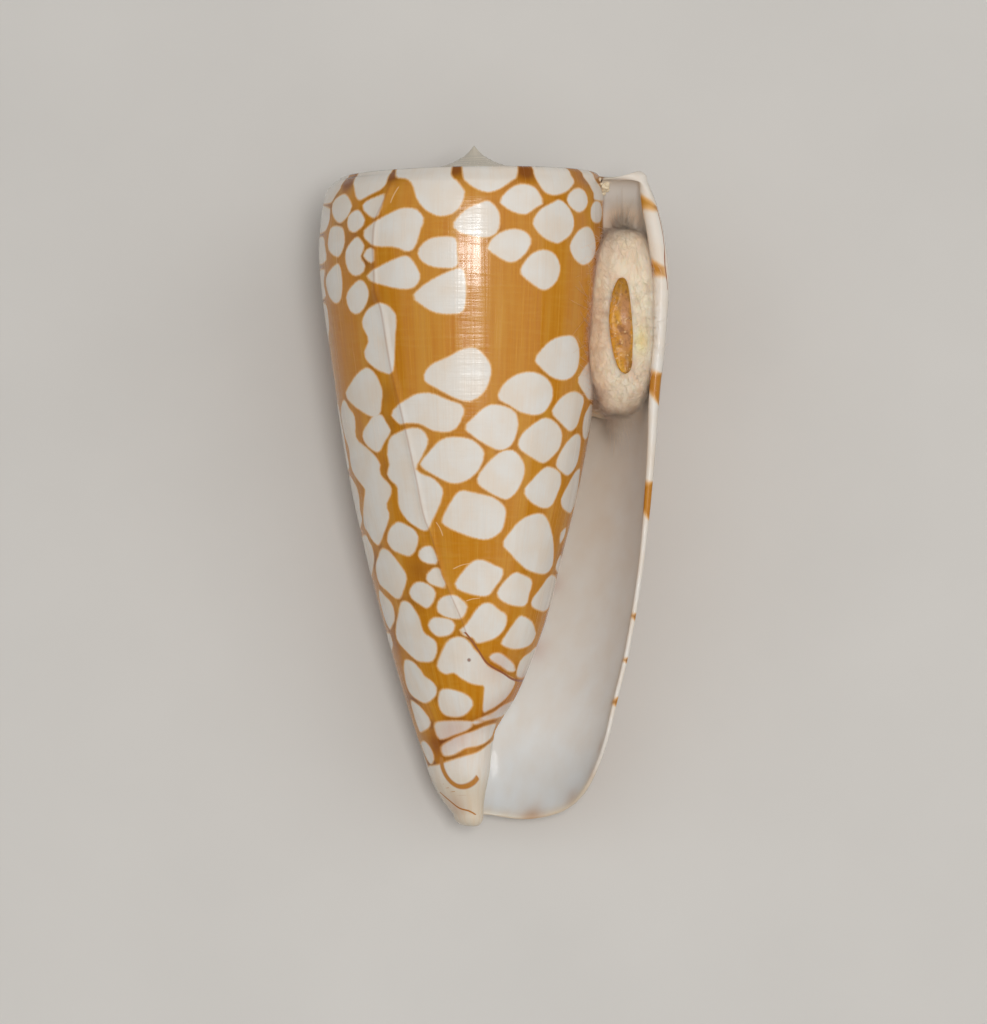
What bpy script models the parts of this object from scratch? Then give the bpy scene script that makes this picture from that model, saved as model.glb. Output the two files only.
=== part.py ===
"""A cordigera cone shell 48 mm long, lying on its back with the aperture up.

Three pieces: the shell itself, the wad of cotton in the upper half of its aperture, and the
operculum that rests on the cotton. Everything is modelled upright, in the shell's own frame: X to
the right as one looks into the aperture, -Y towards the onlooker, and +Z along the axis from the
front tip to the apex. One empty then lays the whole specimen down.

The shell is a rolled sheet. A turn angle counts from 0 at the outer lip backwards through the shell:
right side, back, left side, front, then into the aperture and on up the spire.
"""

import math

import bmesh
import bpy
from mathutils import Matrix, Vector

MM = 0.001
DEG = math.pi / 180
TURN = 2 * math.pi

# Heights of the shell's main features along its axis
LENGTH = 48.0 * MM
RIDGE_HEIGHT = 45.85 * MM
SUTURE_DROP = 0.3 * MM
SUTURE_DROP_SHARE = 1 / 6
SHOULDER_THICKNESS = 0.85 * MM
BASE_HEIGHT = 0.4 * MM

# The body whorl as (height, radius) in mm: its right side at the lip, its left side, its right side
# one turn further in, where it enters the aperture, and its left side inside the shell
RIGHT = ((0, 7.3), (3.2, 8.3), (5.4, 8.95), (8.9, 9.83), (12.4, 10.72), (19.5, 11.95), (26.5, 12.7),
         (30, 12.97), (34.5, 13.45), (38.5, 13.68), (41.3, 13.4), (43.4, 12.95), (45.6, 12.1))
LEFT = ((0, 0.7), (0.45, 1.05), (1.8, 2.04), (3.2, 2.8), (5.4, 3.52), (8.9, 4.72), (12.4, 5.78),
        (19.5, 7.68), (26.5, 9.13), (33.5, 10.15), (37, 10.64), (40.5, 10.92), (43.4, 10.72),
        (44.8, 10.35), (45.6, 9.55))
ENTRY = ((0, 0.62), (1.8, 0.72), (3.7, 1.06), (6.6, 1.45), (7.4, 1.85), (9.2, 2.94), (11.6, 3.99),
         (14.6, 5.08), (18.8, 6.13), (23.5, 7.3), (29.1, 8.3), (35, 8.8), (40, 9.1), (44, 9.1),
         (45.6, 8.9))
INSIDE = ((0, 0.55), (4, 0.8), (8, 1.4), (12, 2.9), (16, 4.1), (20, 5.0), (28, 6.5), (36, 7.4),
          (45.6, 7.7))

# The lip, the front margin and the hollow behind them
LIP_ANGLE = -10 * DEG
LIP_CORNER = 6.3 * MM
LIP_CORNER_SPAN = 12 * DEG
CANAL_RISE = 0.45 * MM
CANAL_RISE_SPAN = (42 * DEG, 90 * DEG)
CANAL_END = 110 * DEG
HOLLOW_END = 130 * DEG
HOLLOW_FLOOR_RISE = 3.0 * MM
LIP_WALL = ((0, 0.4), (16, 0.45), (30, 0.75), (45.6, 0.8))
DEEP_WALL_GAIN = 1.3 * MM
DEEP_WALL_SPAN = 70 * DEG
LEAST_SLIT = 0.25 * MM
TIP_ROUNDING = 0.7
TIP_HEIGHT = 0.1 * MM

# The spire: how much each turn's shoulder shrinks, and how the turns rise to the pointed apex
TURN_RATIO = 1.337
SPIRE_RISE = 0.5 * MM
PEAK_RISE = 1.75 * MM
PEAK_RADIUS = 1.75 * MM
PEAK_POWER = 1.3
RAMP_DIP = 0.06
SHOULDER_LEAN = 0.9 * DEG
SPIRE_TURNS = 6

# How finely the shell is faceted
COLUMNS = 36
SIDE_ROWS = 16
CREST_ROWS = 2
RAMP_STOPS = (0, 0.16, 0.42, 0.72, 1)
ROW_CROWDING = 1.25

# The cotton fills the aperture from wall to wall, a little short of each
COTTON_LOW = 28.2 * MM
COTTON_HIGH = 44.0 * MM
COTTON_DEPTH_ANGLE = 38 * DEG
COTTON_FRONT = (-19 * DEG, -10 * DEG)
COTTON_RINGS = 13
COTTON_SIDES = 20
COTTON_SQUARENESS = 4

# The operculum is a thin horny leaf lying on the cotton
OPERCULUM_LENGTH = 6.6 * MM
OPERCULUM_WIDTH = 1.7 * MM
OPERCULUM_THICKNESS = 0.4 * MM
OPERCULUM_CENTRE = (10.42 * MM, -3.05 * MM, 35.3 * MM)
OPERCULUM_LEAN = -2.5 * DEG
OPERCULUM_TURN = 9.7 * DEG
OPERCULUM_RINGS = 13
OPERCULUM_SIDES = 12

GAP = 0.3 * MM

# How the specimen lies: the tilt of its axis, and how deep its back is worn flat
REST_TILT = 8.5 * DEG
FLAT_DEPTH = 0.35 * MM

# Base colour and roughness of each piece
FINISHES = {
    "shell": ((0.62, 0.36, 0.11, 1), 0.22),
    "cotton_plug": ((0.78, 0.70, 0.55, 1), 0.9),
    "operculum": ((0.35, 0.17, 0.04, 1), 0.35),
}


def smooth_curve(points, place):
    """The value at a place on a smooth curve through (place, value) points that never overshoots."""
    pairs = list(zip(points, points[1:]))
    rises = [(b[1] - a[1]) / (b[0] - a[0]) for a, b in pairs]
    slopes = [rises[0]]
    slopes += [2 * a * b / (a + b) if a * b > 0 else 0 for a, b in zip(rises, rises[1:])]
    slopes.append(rises[-1])
    place = min(max(place, points[0][0]), points[-1][0])
    k = next((i for i, (a, b) in enumerate(pairs) if place <= b[0]), len(pairs) - 1)
    (start, first), (end, last) = pairs[k]
    return hermite((place - start) / (end - start), first, last, slopes[k] * (end - start),
                   slopes[k + 1] * (end - start))


def hermite(share, first, last, leaving, arriving):
    """A cubic between two values with a given slope at each."""
    rest = 1 - share
    return (first * (1 + 2 * share) * rest**2 + leaving * share * rest**2
            + last * share**2 * (3 - 2 * share) - arriving * share**2 * rest)


def smooth_step(share):
    share = min(max(share, 0), 1)
    return share * share * (3 - 2 * share)


def mix(first, last, share):
    return first + (last - first) * share


def side_radius(turn, height):
    """The outer surface's distance from the axis, from the four profiles half a turn apart."""
    logs = [math.log(smooth_curve(p, height / MM)) for p in (RIGHT, LEFT, ENTRY, INSIDE)]
    falls = [b - a for a, b in zip(logs, logs[1:])]
    middles = [2 * a * b / (a + b) for a, b in zip(falls, falls[1:])]
    slopes = [falls[0], *middles, falls[-1]]
    halves = (turn + LIP_ANGLE) / math.pi
    k = min(max(int(halves), 0), 2)
    log_radius = hermite(halves - k, logs[k], logs[k + 1], slopes[k], slopes[k + 1])
    return math.exp(log_radius) * MM


def shoulder_radius(turn):
    """The radius at which a turn's side meets its sloping top."""
    if turn <= TURN:
        return side_radius(turn, RIDGE_HEIGHT - SUTURE_DROP)
    return shoulder_radius(TURN) * TURN_RATIO ** (1 - turn / TURN)


def crest_height(turn):
    """The height of a turn's crest: almost level, then rising to the pointed apex."""
    radius = shoulder_radius(turn)
    level = RIDGE_HEIGHT + math.tan(SHOULDER_LEAN) * radius * math.cos(turn + LIP_ANGLE)
    if turn <= TURN:
        return level
    peak = PEAK_RISE * math.exp(-((radius / PEAK_RADIUS) ** PEAK_POWER))
    return level + SPIRE_RISE * (1 - radius / shoulder_radius(TURN)) + peak


def suture_height(turn):
    """The height at which a turn's side meets the turn outside it, less deep where turns are narrow."""
    width = shoulder_radius(turn) - shoulder_radius(turn + TURN)
    return crest_height(turn) - min(SUTURE_DROP, SUTURE_DROP_SHARE * width)


def wall_thickness(turn, height):
    """Thin at the lip and thicker further in."""
    return smooth_curve(LIP_WALL, height / MM) * MM + DEEP_WALL_GAIN * smooth_step(turn / DEEP_WALL_SPAN)


def hollow_radius(turn, height):
    """The inner face of the outer wall, always clear of the turn inside it."""
    inner_face = side_radius(turn, height) - wall_thickness(turn, height)
    return max(inner_face, side_radius(turn + TURN, height) + LEAST_SLIT)


def canal_rise(turn):
    start, end = CANAL_RISE_SPAN
    return CANAL_RISE * smooth_step((turn - start) / (end - start))


def margin_height(turn):
    """The height of the front margin: up to the lip's rounded corner, and a little up to the tip."""
    return BASE_HEIGHT + LIP_CORNER * math.exp(-turn / LIP_CORNER_SPAN) + canal_rise(turn)


def floor_height(turn):
    """The height of the hollow's floor: level to the end of the canal, then climbing."""
    climb = HOLLOW_FLOOR_RISE * max(0, turn - CANAL_END) / (HOLLOW_END - CANAL_END)
    return BASE_HEIGHT + CANAL_RISE + climb


def on_spiral(turn, radius, height):
    angle = turn + LIP_ANGLE
    return Vector((radius * math.cos(angle), radius * math.sin(angle), height))


def ramp_point(turn, share):
    """A point on a turn's sloping top, from its outer edge over the crest in to the next suture."""
    outer, inner = shoulder_radius(turn), shoulder_radius(turn + TURN)
    crest = RAMP_STOPS[1]
    if share <= crest:
        rise = math.sin(share / crest * math.pi / 2)
        height = mix(suture_height(turn), crest_height(turn), rise)
    else:
        past = (share - crest) / (1 - crest)
        height = mix(crest_height(turn), suture_height(turn + TURN), past)
        height -= RAMP_DIP * (outer - inner) * math.sin(past * math.pi)
    return on_spiral(turn, mix(outer, inner, share), height)


class ShellMesh:
    """The shell's one closed surface: a rolled sheet whose turns share their sutures.

    A column is a step around the axis and a row is a step up the side and in over the shoulder.
    """

    def __init__(self):
        self.mesh = bmesh.new()
        self.made = {}
        self.suture_row = SIDE_ROWS + CREST_ROWS
        self.top_row = self.suture_row + len(RAMP_STOPS) - 1
        self.last_column = COLUMNS * (SPIRE_TURNS + 1)
        self.canal_column = round(CANAL_END / TURN * COLUMNS)
        self.hollow_column = round(HOLLOW_END / TURN * COLUMNS)
        self.ceiling = RIDGE_HEIGHT - SUTURE_DROP - SHOULDER_THICKNESS

    def vertex(self, key, place):
        if key not in self.made:
            self.made[key] = self.mesh.verts.new(place)
        return self.made[key]

    def face(self, *corners):
        self.mesh.faces.new(corners)

    def row_height(self, low, row):
        """Heights up a side, closer together near the front tip, where the shape turns faster."""
        return mix(low, self.ceiling, (row / SIDE_ROWS) ** ROW_CROWDING)

    def outer(self, column, row):
        """A vertex of the outer surface, which is also the hollow's inner wall past one turn."""
        if row == self.top_row and column + COLUMNS <= self.last_column:
            return self.outer(column + COLUMNS, self.suture_row)
        turn = column / COLUMNS * TURN
        if row >= self.suture_row:
            place = ramp_point(turn, RAMP_STOPS[row - self.suture_row])
        else:
            low = margin_height(turn) if column <= COLUMNS else floor_height(turn - TURN)
            height = self.row_height(low, min(row, SIDE_ROWS))
            height += SHOULDER_THICKNESS * max(0, row - SIDE_ROWS) / CREST_ROWS
            place = on_spiral(turn, side_radius(turn, height), height)
        return self.vertex(("outer", column, row), place)

    def inner(self, column, row):
        """A vertex of the outer wall's inner face, up the side and in under the shoulder."""
        if row == self.top_row:
            return self.outer(column + COLUMNS, SIDE_ROWS)
        if row == 0 and column >= self.canal_column:
            return self.outer(column + COLUMNS, 0)
        turn = column / COLUMNS * TURN
        if row <= SIDE_ROWS:
            low = margin_height(turn) if column <= self.canal_column else floor_height(turn)
            height = self.row_height(low, row)
            radius = hollow_radius(turn, height)
        else:
            height = self.ceiling
            inside = side_radius(turn + TURN, height)
            share = (row - SIDE_ROWS) / (self.top_row - SIDE_ROWS)
            radius = mix(hollow_radius(turn, height), inside, share)
        return self.vertex(("inner", column, row), on_spiral(turn, radius, height))

    def sheet(self, vertex_at, columns, rows):
        for i in columns:
            for j in rows:
                self.face(vertex_at(i, j), vertex_at(i + 1, j), vertex_at(i + 1, j + 1), vertex_at(i, j + 1))

    def margin_middle(self, column, row):
        """The vertex that rounds the free edge between the outer and the inner face."""
        outside, inside = self.outer(column, row), self.inner(column, row)
        behind = self.outer(1, row) if column == 0 else self.outer(column, 1)
        forward = (outside.co - behind.co).normalized()
        bulge = min((inside.co - outside.co).length, SHOULDER_THICKNESS) / 2
        place = (outside.co + inside.co) / 2 + forward * bulge
        return self.vertex(("margin", column, row), place)

    def margin(self):
        """The free edge: along the shoulder, down the lip and round the front to the canal's end."""
        stops = [(0, row) for row in range(self.top_row - 1, -1, -1)]
        stops += [(column, 0) for column in range(1, self.canal_column + 1)]
        rings = [[self.outer(*s), self.margin_middle(*s), self.inner(*s)] for s in stops]
        top = [self.outer(COLUMNS, row) for row in range(self.suture_row, SIDE_ROWS - 1, -1)]
        rings.insert(0, top)
        for ring, following in zip(rings, rings[1:]):
            for k in range(len(ring) - 1):
                self.face(ring[k], ring[k + 1], following[k + 1], following[k])

    def hollow_end(self):
        """Closes the deep end of the hollow."""
        column = self.hollow_column
        near = [self.outer(column + COLUMNS, row) for row in range(1, SIDE_ROWS)]
        far = [self.inner(column, row) for row in range(1, SIDE_ROWS)]
        self.face(self.outer(column + COLUMNS, 0), near[0], far[0])
        for k in range(len(near) - 1):
            self.face(near[k], near[k + 1], far[k + 1], far[k])
        roof = [self.inner(column, row) for row in range(SIDE_ROWS, self.top_row + 1)]
        self.face(far[-1], *roof, near[-1])

    def fan(self, loop, centre):
        middle = self.mesh.verts.new(centre)
        for first, second in zip(loop, loop[1:] + loop[:1]):
            self.face(first, second, middle)

    def front_tip(self):
        """The rounded end of the columella."""
        last = COLUMNS + self.canal_column
        loop = [self.outer(column, 0) for column in range(self.canal_column, last + 1)]
        loop.append(self.margin_middle(self.canal_column, 0))
        places = [(TIP_ROUNDING * v.co.x, TIP_ROUNDING * v.co.y, TIP_HEIGHT) for v in loop]
        ring = [self.mesh.verts.new(place) for place in places]
        for k in range(len(loop)):
            self.face(loop[k - 1], loop[k], ring[k], ring[k - 1])
        self.fan(ring, (0, 0, 0))

    def apex(self):
        last = self.last_column
        loop = [self.outer(last, row) for row in range(self.suture_row, self.top_row + 1)]
        loop += [self.outer(column, self.top_row) for column in range(last - 1, last - COLUMNS, -1)]
        self.fan(loop, (0, 0, LENGTH))

    def flatten_back(self, down):
        """Wears the lowest spot of the back flat, so that the shell lies steadily."""
        reach = max(v.co.dot(down) for v in self.mesh.verts) - FLAT_DEPTH
        everything = [*self.mesh.verts, *self.mesh.edges, *self.mesh.faces]
        cut = bmesh.ops.bisect_plane(
            self.mesh, geom=everything, plane_co=down * reach, plane_no=down, clear_outer=True
        )
        rim = [part for part in cut["geom_cut"] if isinstance(part, bmesh.types.BMEdge)]
        bmesh.ops.contextual_create(self.mesh, geom=rim)

    def build(self, down):
        body = range(COLUMNS)
        hidden = range(COLUMNS, COLUMNS + self.hollow_column)
        spire = range(COLUMNS, self.last_column)
        self.sheet(self.outer, body, range(self.top_row))
        self.sheet(self.outer, hidden, range(SIDE_ROWS))
        self.sheet(self.outer, spire, range(self.suture_row, self.top_row))
        self.sheet(self.inner, range(self.hollow_column), range(self.top_row))
        self.margin()
        self.hollow_end()
        self.front_tip()
        self.apex()
        self.flatten_back(down)
        return self.mesh


def loft(rings, first_pole, last_pole):
    """A closed mesh through rings of points, pointed at both ends."""
    mesh = bmesh.new()
    loops = [[mesh.verts.new(point) for point in ring] for ring in rings]
    for loop, following in zip(loops, loops[1:]):
        for k in range(len(loop)):
            mesh.faces.new((loop[k - 1], loop[k], following[k], following[k - 1]))
    for loop, pole in ((loops[0], first_pole), (loops[-1], last_pole)):
        tip = mesh.verts.new(pole)
        for k in range(len(loop)):
            mesh.faces.new((loop[k - 1], loop[k], tip))
    return mesh


def rounded_square(angle, squareness):
    """A point on a rounded square from -1 to 1 each way."""
    across, deep = math.cos(angle), math.sin(angle)
    reach = (abs(across) ** squareness + abs(deep) ** squareness) ** (-1 / squareness)
    return across * reach, deep * reach


def cotton_point(across, deep, height):
    """A point of the wad: across from inner to outer wall and in from the mouth, each -1 to 1."""
    across, deep = (across + 1) / 2, (deep + 1) / 2
    angle = mix(mix(*COTTON_FRONT, across), COTTON_DEPTH_ANGLE, deep)
    turn = angle - LIP_ANGLE
    inner = side_radius(turn + TURN, height) + GAP
    outer = side_radius(turn, height) - wall_thickness(turn, height) - GAP
    return on_spiral(turn, mix(inner, outer, across), height)


def cotton_mesh():
    middle, half = (COTTON_LOW + COTTON_HIGH) / 2, (COTTON_HIGH - COTTON_LOW) / 2
    rings = []
    for ring in range(1, COTTON_RINGS):
        size, share = rounded_square(ring / COTTON_RINGS * math.pi - math.pi / 2, COTTON_SQUARENESS)
        sides = [rounded_square(k / COTTON_SIDES * TURN, COTTON_SQUARENESS) for k in range(COTTON_SIDES)]
        rings.append([cotton_point(size * a, size * d, middle + half * share) for a, d in sides])
    return loft(rings, cotton_point(0, 0, COTTON_LOW), cotton_point(0, 0, COTTON_HIGH))


def operculum_mesh():
    """A long leaf, rounded at both ends and thinner towards its edge."""
    place = Matrix.Translation(OPERCULUM_CENTRE)
    place = place @ Matrix.Rotation(OPERCULUM_TURN, 4, "Z") @ Matrix.Rotation(OPERCULUM_LEAN, 4, "Y")
    rings = []
    for ring in range(1, OPERCULUM_RINGS):
        along = -math.cos(ring / OPERCULUM_RINGS * math.pi)
        girth = math.sqrt(1 - along * along)
        ring_points = []
        for k in range(OPERCULUM_SIDES):
            angle = k / OPERCULUM_SIDES * TURN
            across = girth * math.cos(angle) * OPERCULUM_WIDTH / 2
            out = girth * math.sin(angle) * OPERCULUM_THICKNESS / 2
            ring_points.append(place @ Vector((across, out, along * OPERCULUM_LENGTH / 2)))
        rings.append(ring_points)
    ends = [place @ Vector((0, 0, end * OPERCULUM_LENGTH / 2)) for end in (-1, 1)]
    return loft(rings, *ends)


def rest_rotation():
    """Lays the upright shell on its back, its apex a little raised."""
    return Matrix.Rotation(REST_TILT - 90 * DEG, 4, "X")


def make_material(name):
    colour, roughness = FINISHES[name]
    material = bpy.data.materials.new(name)
    material.use_nodes = True
    shader = material.node_tree.nodes["Principled BSDF"]
    shader.inputs["Base Color"].default_value = colour
    shader.inputs["Roughness"].default_value = roughness
    shader.inputs["Metallic"].default_value = 0.0
    return material


def make_piece(name, mesh, parent):
    bmesh.ops.recalc_face_normals(mesh, faces=mesh.faces)
    if mesh.calc_volume(signed=True) < 0:
        bmesh.ops.reverse_faces(mesh, faces=mesh.faces)
    data = bpy.data.meshes.new(name)
    mesh.to_mesh(data)
    mesh.free()
    data.shade_smooth()
    data.materials.append(make_material(name))
    piece = bpy.data.objects.new(name, data)
    bpy.context.scene.collection.objects.link(piece)
    piece.parent = parent
    return piece


def stand_on_origin(empty, piece):
    """Puts the middle of the piece's footprint on the origin."""
    corners = [empty.matrix_basis @ vertex.co for vertex in piece.data.vertices]
    low = Vector(min(corner[k] for corner in corners) for k in range(3))
    high = Vector(max(corner[k] for corner in corners) for k in range(3))
    middle = (low + high) / 2
    empty.location = (-middle.x, -middle.y, -low.z)


def clear_scene():
    for item in list(bpy.data.objects):
        bpy.data.objects.remove(item)


def main():
    clear_scene()
    specimen = bpy.data.objects.new("specimen", None)
    bpy.context.scene.collection.objects.link(specimen)
    rotation = rest_rotation()
    specimen.rotation_euler = rotation.to_euler()
    down = rotation.to_3x3().transposed() @ Vector((0, 0, -1))
    shell = make_piece("shell", ShellMesh().build(down), specimen)
    make_piece("cotton_plug", cotton_mesh(), specimen)
    make_piece("operculum", operculum_mesh(), specimen)
    stand_on_origin(specimen, shell)


main()
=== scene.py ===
"""The looks of a cordigera cone shell that lies on its back, aperture up.

The shell's own frame is upright, in millimetres: X to the right as one looks into the aperture, -Y
towards the onlooker and Z from the front tip to the apex. A turn angle counts from 0 at the outer lip
backwards: right side, back, left side, front, then into the aperture and on up the spire.
"""

import math

import bmesh
import bpy
import numpy as np
from mathutils import Matrix, Vector, noise
from mathutils.bvhtree import BVHTree


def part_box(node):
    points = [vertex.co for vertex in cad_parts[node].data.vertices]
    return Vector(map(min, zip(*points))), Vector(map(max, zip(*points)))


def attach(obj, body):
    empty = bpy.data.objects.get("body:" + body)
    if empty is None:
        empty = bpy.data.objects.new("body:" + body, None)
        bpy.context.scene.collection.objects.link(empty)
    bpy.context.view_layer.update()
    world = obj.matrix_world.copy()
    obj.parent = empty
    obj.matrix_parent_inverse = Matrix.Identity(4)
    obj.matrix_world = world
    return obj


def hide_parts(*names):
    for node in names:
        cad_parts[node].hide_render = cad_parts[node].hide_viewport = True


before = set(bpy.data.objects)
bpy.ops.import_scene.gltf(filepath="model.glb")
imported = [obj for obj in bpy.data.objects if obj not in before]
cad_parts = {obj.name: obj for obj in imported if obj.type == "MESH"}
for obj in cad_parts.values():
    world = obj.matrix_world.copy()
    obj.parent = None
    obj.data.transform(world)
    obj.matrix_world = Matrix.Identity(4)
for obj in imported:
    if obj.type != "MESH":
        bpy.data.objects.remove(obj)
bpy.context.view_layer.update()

MM = 0.001
DEG = math.pi / 180
TURN = 2 * math.pi

# The photo's frame: the pixel column of the shell's axis, the row of its front tip, and mm a pixel
PHOTO_WIDTH, PHOTO_HEIGHT = 987, 1024
AXIS_COLUMN, TIP_LINE = 474, 826
PIXEL = 0.07048
CAMERA_DISTANCE = 400.0
CAMERA_DIP = 1.0 * DEG
SENSOR = 36.0

# The shell's form in mm, as in the solid it stands for, with a finer peak and lip corner
LENGTH = 48.0
RIDGE_HEIGHT = 45.85
SUTURE_DROP = 0.3
SUTURE_DROP_SHARE = 1 / 6
SHOULDER_THICKNESS = 0.85
BASE_HEIGHT = 0.4
RIGHT = ((0, 7.3), (3.2, 8.3), (5.4, 8.95), (8.9, 9.83), (12.4, 10.72), (19.5, 11.95), (26.5, 12.7),
         (30, 12.97), (34.5, 13.45), (38.5, 13.68), (41.3, 13.4), (43.4, 12.95), (45.6, 12.1))
LEFT = ((0, 0.7), (0.45, 1.05), (1.8, 2.04), (3.2, 2.8), (5.4, 3.52), (8.9, 4.72), (12.4, 5.78),
        (19.5, 7.68), (26.5, 9.13), (33.5, 10.15), (37, 10.64), (40.5, 10.92), (43.4, 10.72),
        (44.8, 10.35), (45.6, 9.55))
ENTRY = ((0, 0.62), (1.8, 0.72), (3.7, 1.06), (6.6, 1.45), (7.4, 1.85), (9.2, 2.94), (11.6, 3.99),
         (14.6, 5.08), (18.8, 6.13), (23.5, 7.3), (29.1, 8.3), (35, 8.8), (40, 9.1), (44, 9.1),
         (45.6, 8.9))
INSIDE = ((0, 0.55), (4, 0.8), (8, 1.4), (12, 2.9), (16, 4.1), (20, 5.0), (28, 6.5), (36, 7.4),
          (45.6, 7.7))
LIP_ANGLE = -10 * DEG
LIP_CORNER = 6.3
LIP_CORNER_SPAN = 12 * DEG
CANAL_RISE = 0.45
CANAL_RISE_SPAN = (42 * DEG, 90 * DEG)
CANAL_END = 110 * DEG
HOLLOW_END = 130 * DEG
HOLLOW_FLOOR_RISE = 3.0
LIP_WALL = ((0, 0.3), (16, 0.36), (28, 0.66), (35, 0.95), (40, 1.2), (43, 1.15), (44, 1.0), (44.8, 0.75),
            (45.6, 0.45))
DEEP_WALL_GAIN = 1.3
DEEP_WALL_SPAN = 70 * DEG
LEAST_SLIT = 0.25
MARGIN_WALL_SPAN = 6.0
ROOF_ROUNDING, ROUNDING_SHARE = (0.35, 1.0), 0.45
MOUTH_CEILING, DEEP_CEILING = 45.4, 41.2
CEILING_FALL_SPAN = 26 * DEG
ROOF_CLEARANCE = 0.04
TURN_RATIO = 1.337
SPIRE_RISE = 0.5
PEAK_RISE = 1.75
PEAK_RADIUS = 1.3
PEAK_POWER = 0.9
PEAK_SHARPNESS = 1.5
SMOOTH_PEAK = (1.0, 3.5)
RAMP_DIP = 0.06
SHOULDER_LEAN = 0.9 * DEG
SPIRE_TURNS = 7
REST_TILT = 8.5 * DEG

# The shell's mesh: columns a turn, closer together at the front, and rows up the side and over the top
COLUMNS = 256
FRONT_CROWDING = 0.4
FRONT_PHASE = 250 * DEG
SIDE_ROWS = 136
ROW_CROWDING = 1.1
RIM_STEPS = 6
RAMP_STOPS = (0, 0.045, 0.09, 0.16, 0.28, 0.42, 0.56, 0.7, 0.85, 1)
CREST_STOP = 0.16
CAP_RINGS = 10
TIP_BLUNTNESS = 1.3
CAP_CHART_STEP = 0.4

# Growth marks in relief, where they start and where they end under the next turn. Bands of waves are
# (cycles a unit, size)
GROWTH_WAVES = ((5.0, 0.030), (13.0, 0.014), (31.0, 0.006))
THREAD_WAVES = ((1.1, 0.006), (2.9, 0.004))
RELIEF_CLIMBS = (0.0, 6.0)
RELIEF_TURNS = (TURN + 12 * DEG, TURN - 8 * DEG)
SCAR_RELIEF = 0.09
SCAR_WIDTH = 0.2
SCAR_END = (-0.15, 0.15)
SCAR_LINE_WIDTHS = (1.4, 1.1)

# Where the pattern gives way to plain porcelain: turns on the inner wall, and mm in from the rim
COVERED_TURNS = (TURN + 6 * DEG, TURN + 28 * DEG)
PORCELAIN_SPAN = (0.1, 1.2)
MARGIN_SHADE_START = 0.5

# Seeds of what is drawn at random, and how many values a band of waves has and at which it starts
GROWTH_SEED, THREAD_SEED, FIRST_EDGE_SEED, BACK_SEED = 3, 5, 9, 11
BLOTCH_SEED, BLOTCH_EDGE_SEED, FIBRE_SEED = 21, 22, 31
WAVE_TABLE, WAVE_START = 4096, 1024

# How far from a white cell's outline its depth is kept, the gap below which two cells need separate
# depth layers, and the half widths from a line that stand for nowhere near it
FAR = 0.6
LAYER_GAP = 0.8
OFF_LINE = 9.0
CURVE_STEPS = 5
# How the depth of a seen point is found: where the search starts, its rounds and the share of each step
FIRST_DEPTH, DEPTH_ROUNDS, DEPTH_STEP = -8.0, 40, 0.6

SHOULDER_CLIMB = RIDGE_HEIGHT - SUTURE_DROP


def linear(red, green, blue):
    """A display colour, 0 to 255, as linear light."""
    shares = np.array((red, green, blue)) / 255
    return tuple(np.where(shares <= 0.04045, shares / 12.92, ((shares + 0.055) / 1.055) ** 2.4))


def mix(first, last, share):
    return first + (last - first) * share


def smooth_step(share):
    share = np.clip(share, 0, 1)
    return share * share * (3 - 2 * share)


def fade(value, start, end):
    """From 0 where a value is at the start to 1 at the end, which may be the lower of the two."""
    return smooth_step((value - start) / (end - start))


def hermite(share, first, last, leaving, arriving):
    rest = 1 - share
    return (first * (1 + 2 * share) * rest**2 + leaving * share * rest**2
            + last * share**2 * (3 - 2 * share) - arriving * share**2 * rest)


def curve_at(points, places):
    """Values on a smooth curve through (place, value) points that never overshoots."""
    place, value = np.array(points, float).T
    rises = np.diff(value) / np.diff(place)
    before, after = rises[:-1], rises[1:]
    total = np.where(before * after > 0, before + after, 1)
    middles = np.where(before * after > 0, 2 * before * after / total, 0)
    slopes = np.concatenate((rises[:1], middles, rises[-1:]))
    places = np.clip(places, place[0], place[-1])
    k = np.clip(np.searchsorted(place, places) - 1, 0, len(place) - 2)
    width = place[k + 1] - place[k]
    share = (places - place[k]) / width
    return hermite(share, value[k], value[k + 1], slopes[k] * width, slopes[k + 1] * width)


def side_radius(turn, height):
    """The outer surface's distance from the axis, from the four profiles half a turn apart."""
    turn, height = np.broadcast_arrays(np.asarray(turn, float), np.asarray(height, float))
    logs = np.log([curve_at(profile, height) for profile in (RIGHT, LEFT, ENTRY, INSIDE)])
    falls = np.diff(logs, axis=0)
    middles = 2 * falls[:-1] * falls[1:] / (falls[:-1] + falls[1:])
    slopes = np.concatenate((falls[:1], middles, falls[-1:]))
    halves = (turn + LIP_ANGLE) / math.pi
    k = np.clip(np.floor(halves).astype(int), 0, 2)
    first, last, leaving, arriving = (
        np.take_along_axis(table, index[None], 0)[0]
        for table, index in ((logs, k), (logs, k + 1), (slopes, k), (slopes, k + 1))
    )
    return np.exp(hermite(halves - k, first, last, leaving, arriving))


def shoulder_radius(turn):
    """The radius at which a turn's side meets its sloping top."""
    turn = np.asarray(turn, float)
    first = side_radius(np.minimum(turn, TURN), SHOULDER_CLIMB)
    return first * TURN_RATIO ** -np.maximum(turn / TURN - 1, 0)


def crest_height(turn):
    """The height of a turn's crest, nearly level round the body and rising up the spire."""
    radius = shoulder_radius(turn)
    level = RIDGE_HEIGHT + math.tan(SHOULDER_LEAN) * radius * np.cos(turn + LIP_ANGLE)
    peak = PEAK_RISE * np.exp(-((radius / PEAK_RADIUS) ** PEAK_POWER))
    spire = SPIRE_RISE * (1 - radius / shoulder_radius(TURN)) + peak
    return level + np.where(np.asarray(turn) <= TURN, 0, spire)


def suture_height(turn):
    """The height at which a turn meets the one that it lies on."""
    radius = shoulder_radius(turn)
    width = radius - shoulder_radius(np.asarray(turn) + TURN)
    drop = np.minimum(SUTURE_DROP, SUTURE_DROP_SHARE * width) * fade(radius, *SMOOTH_PEAK)
    return crest_height(turn) - drop


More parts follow.
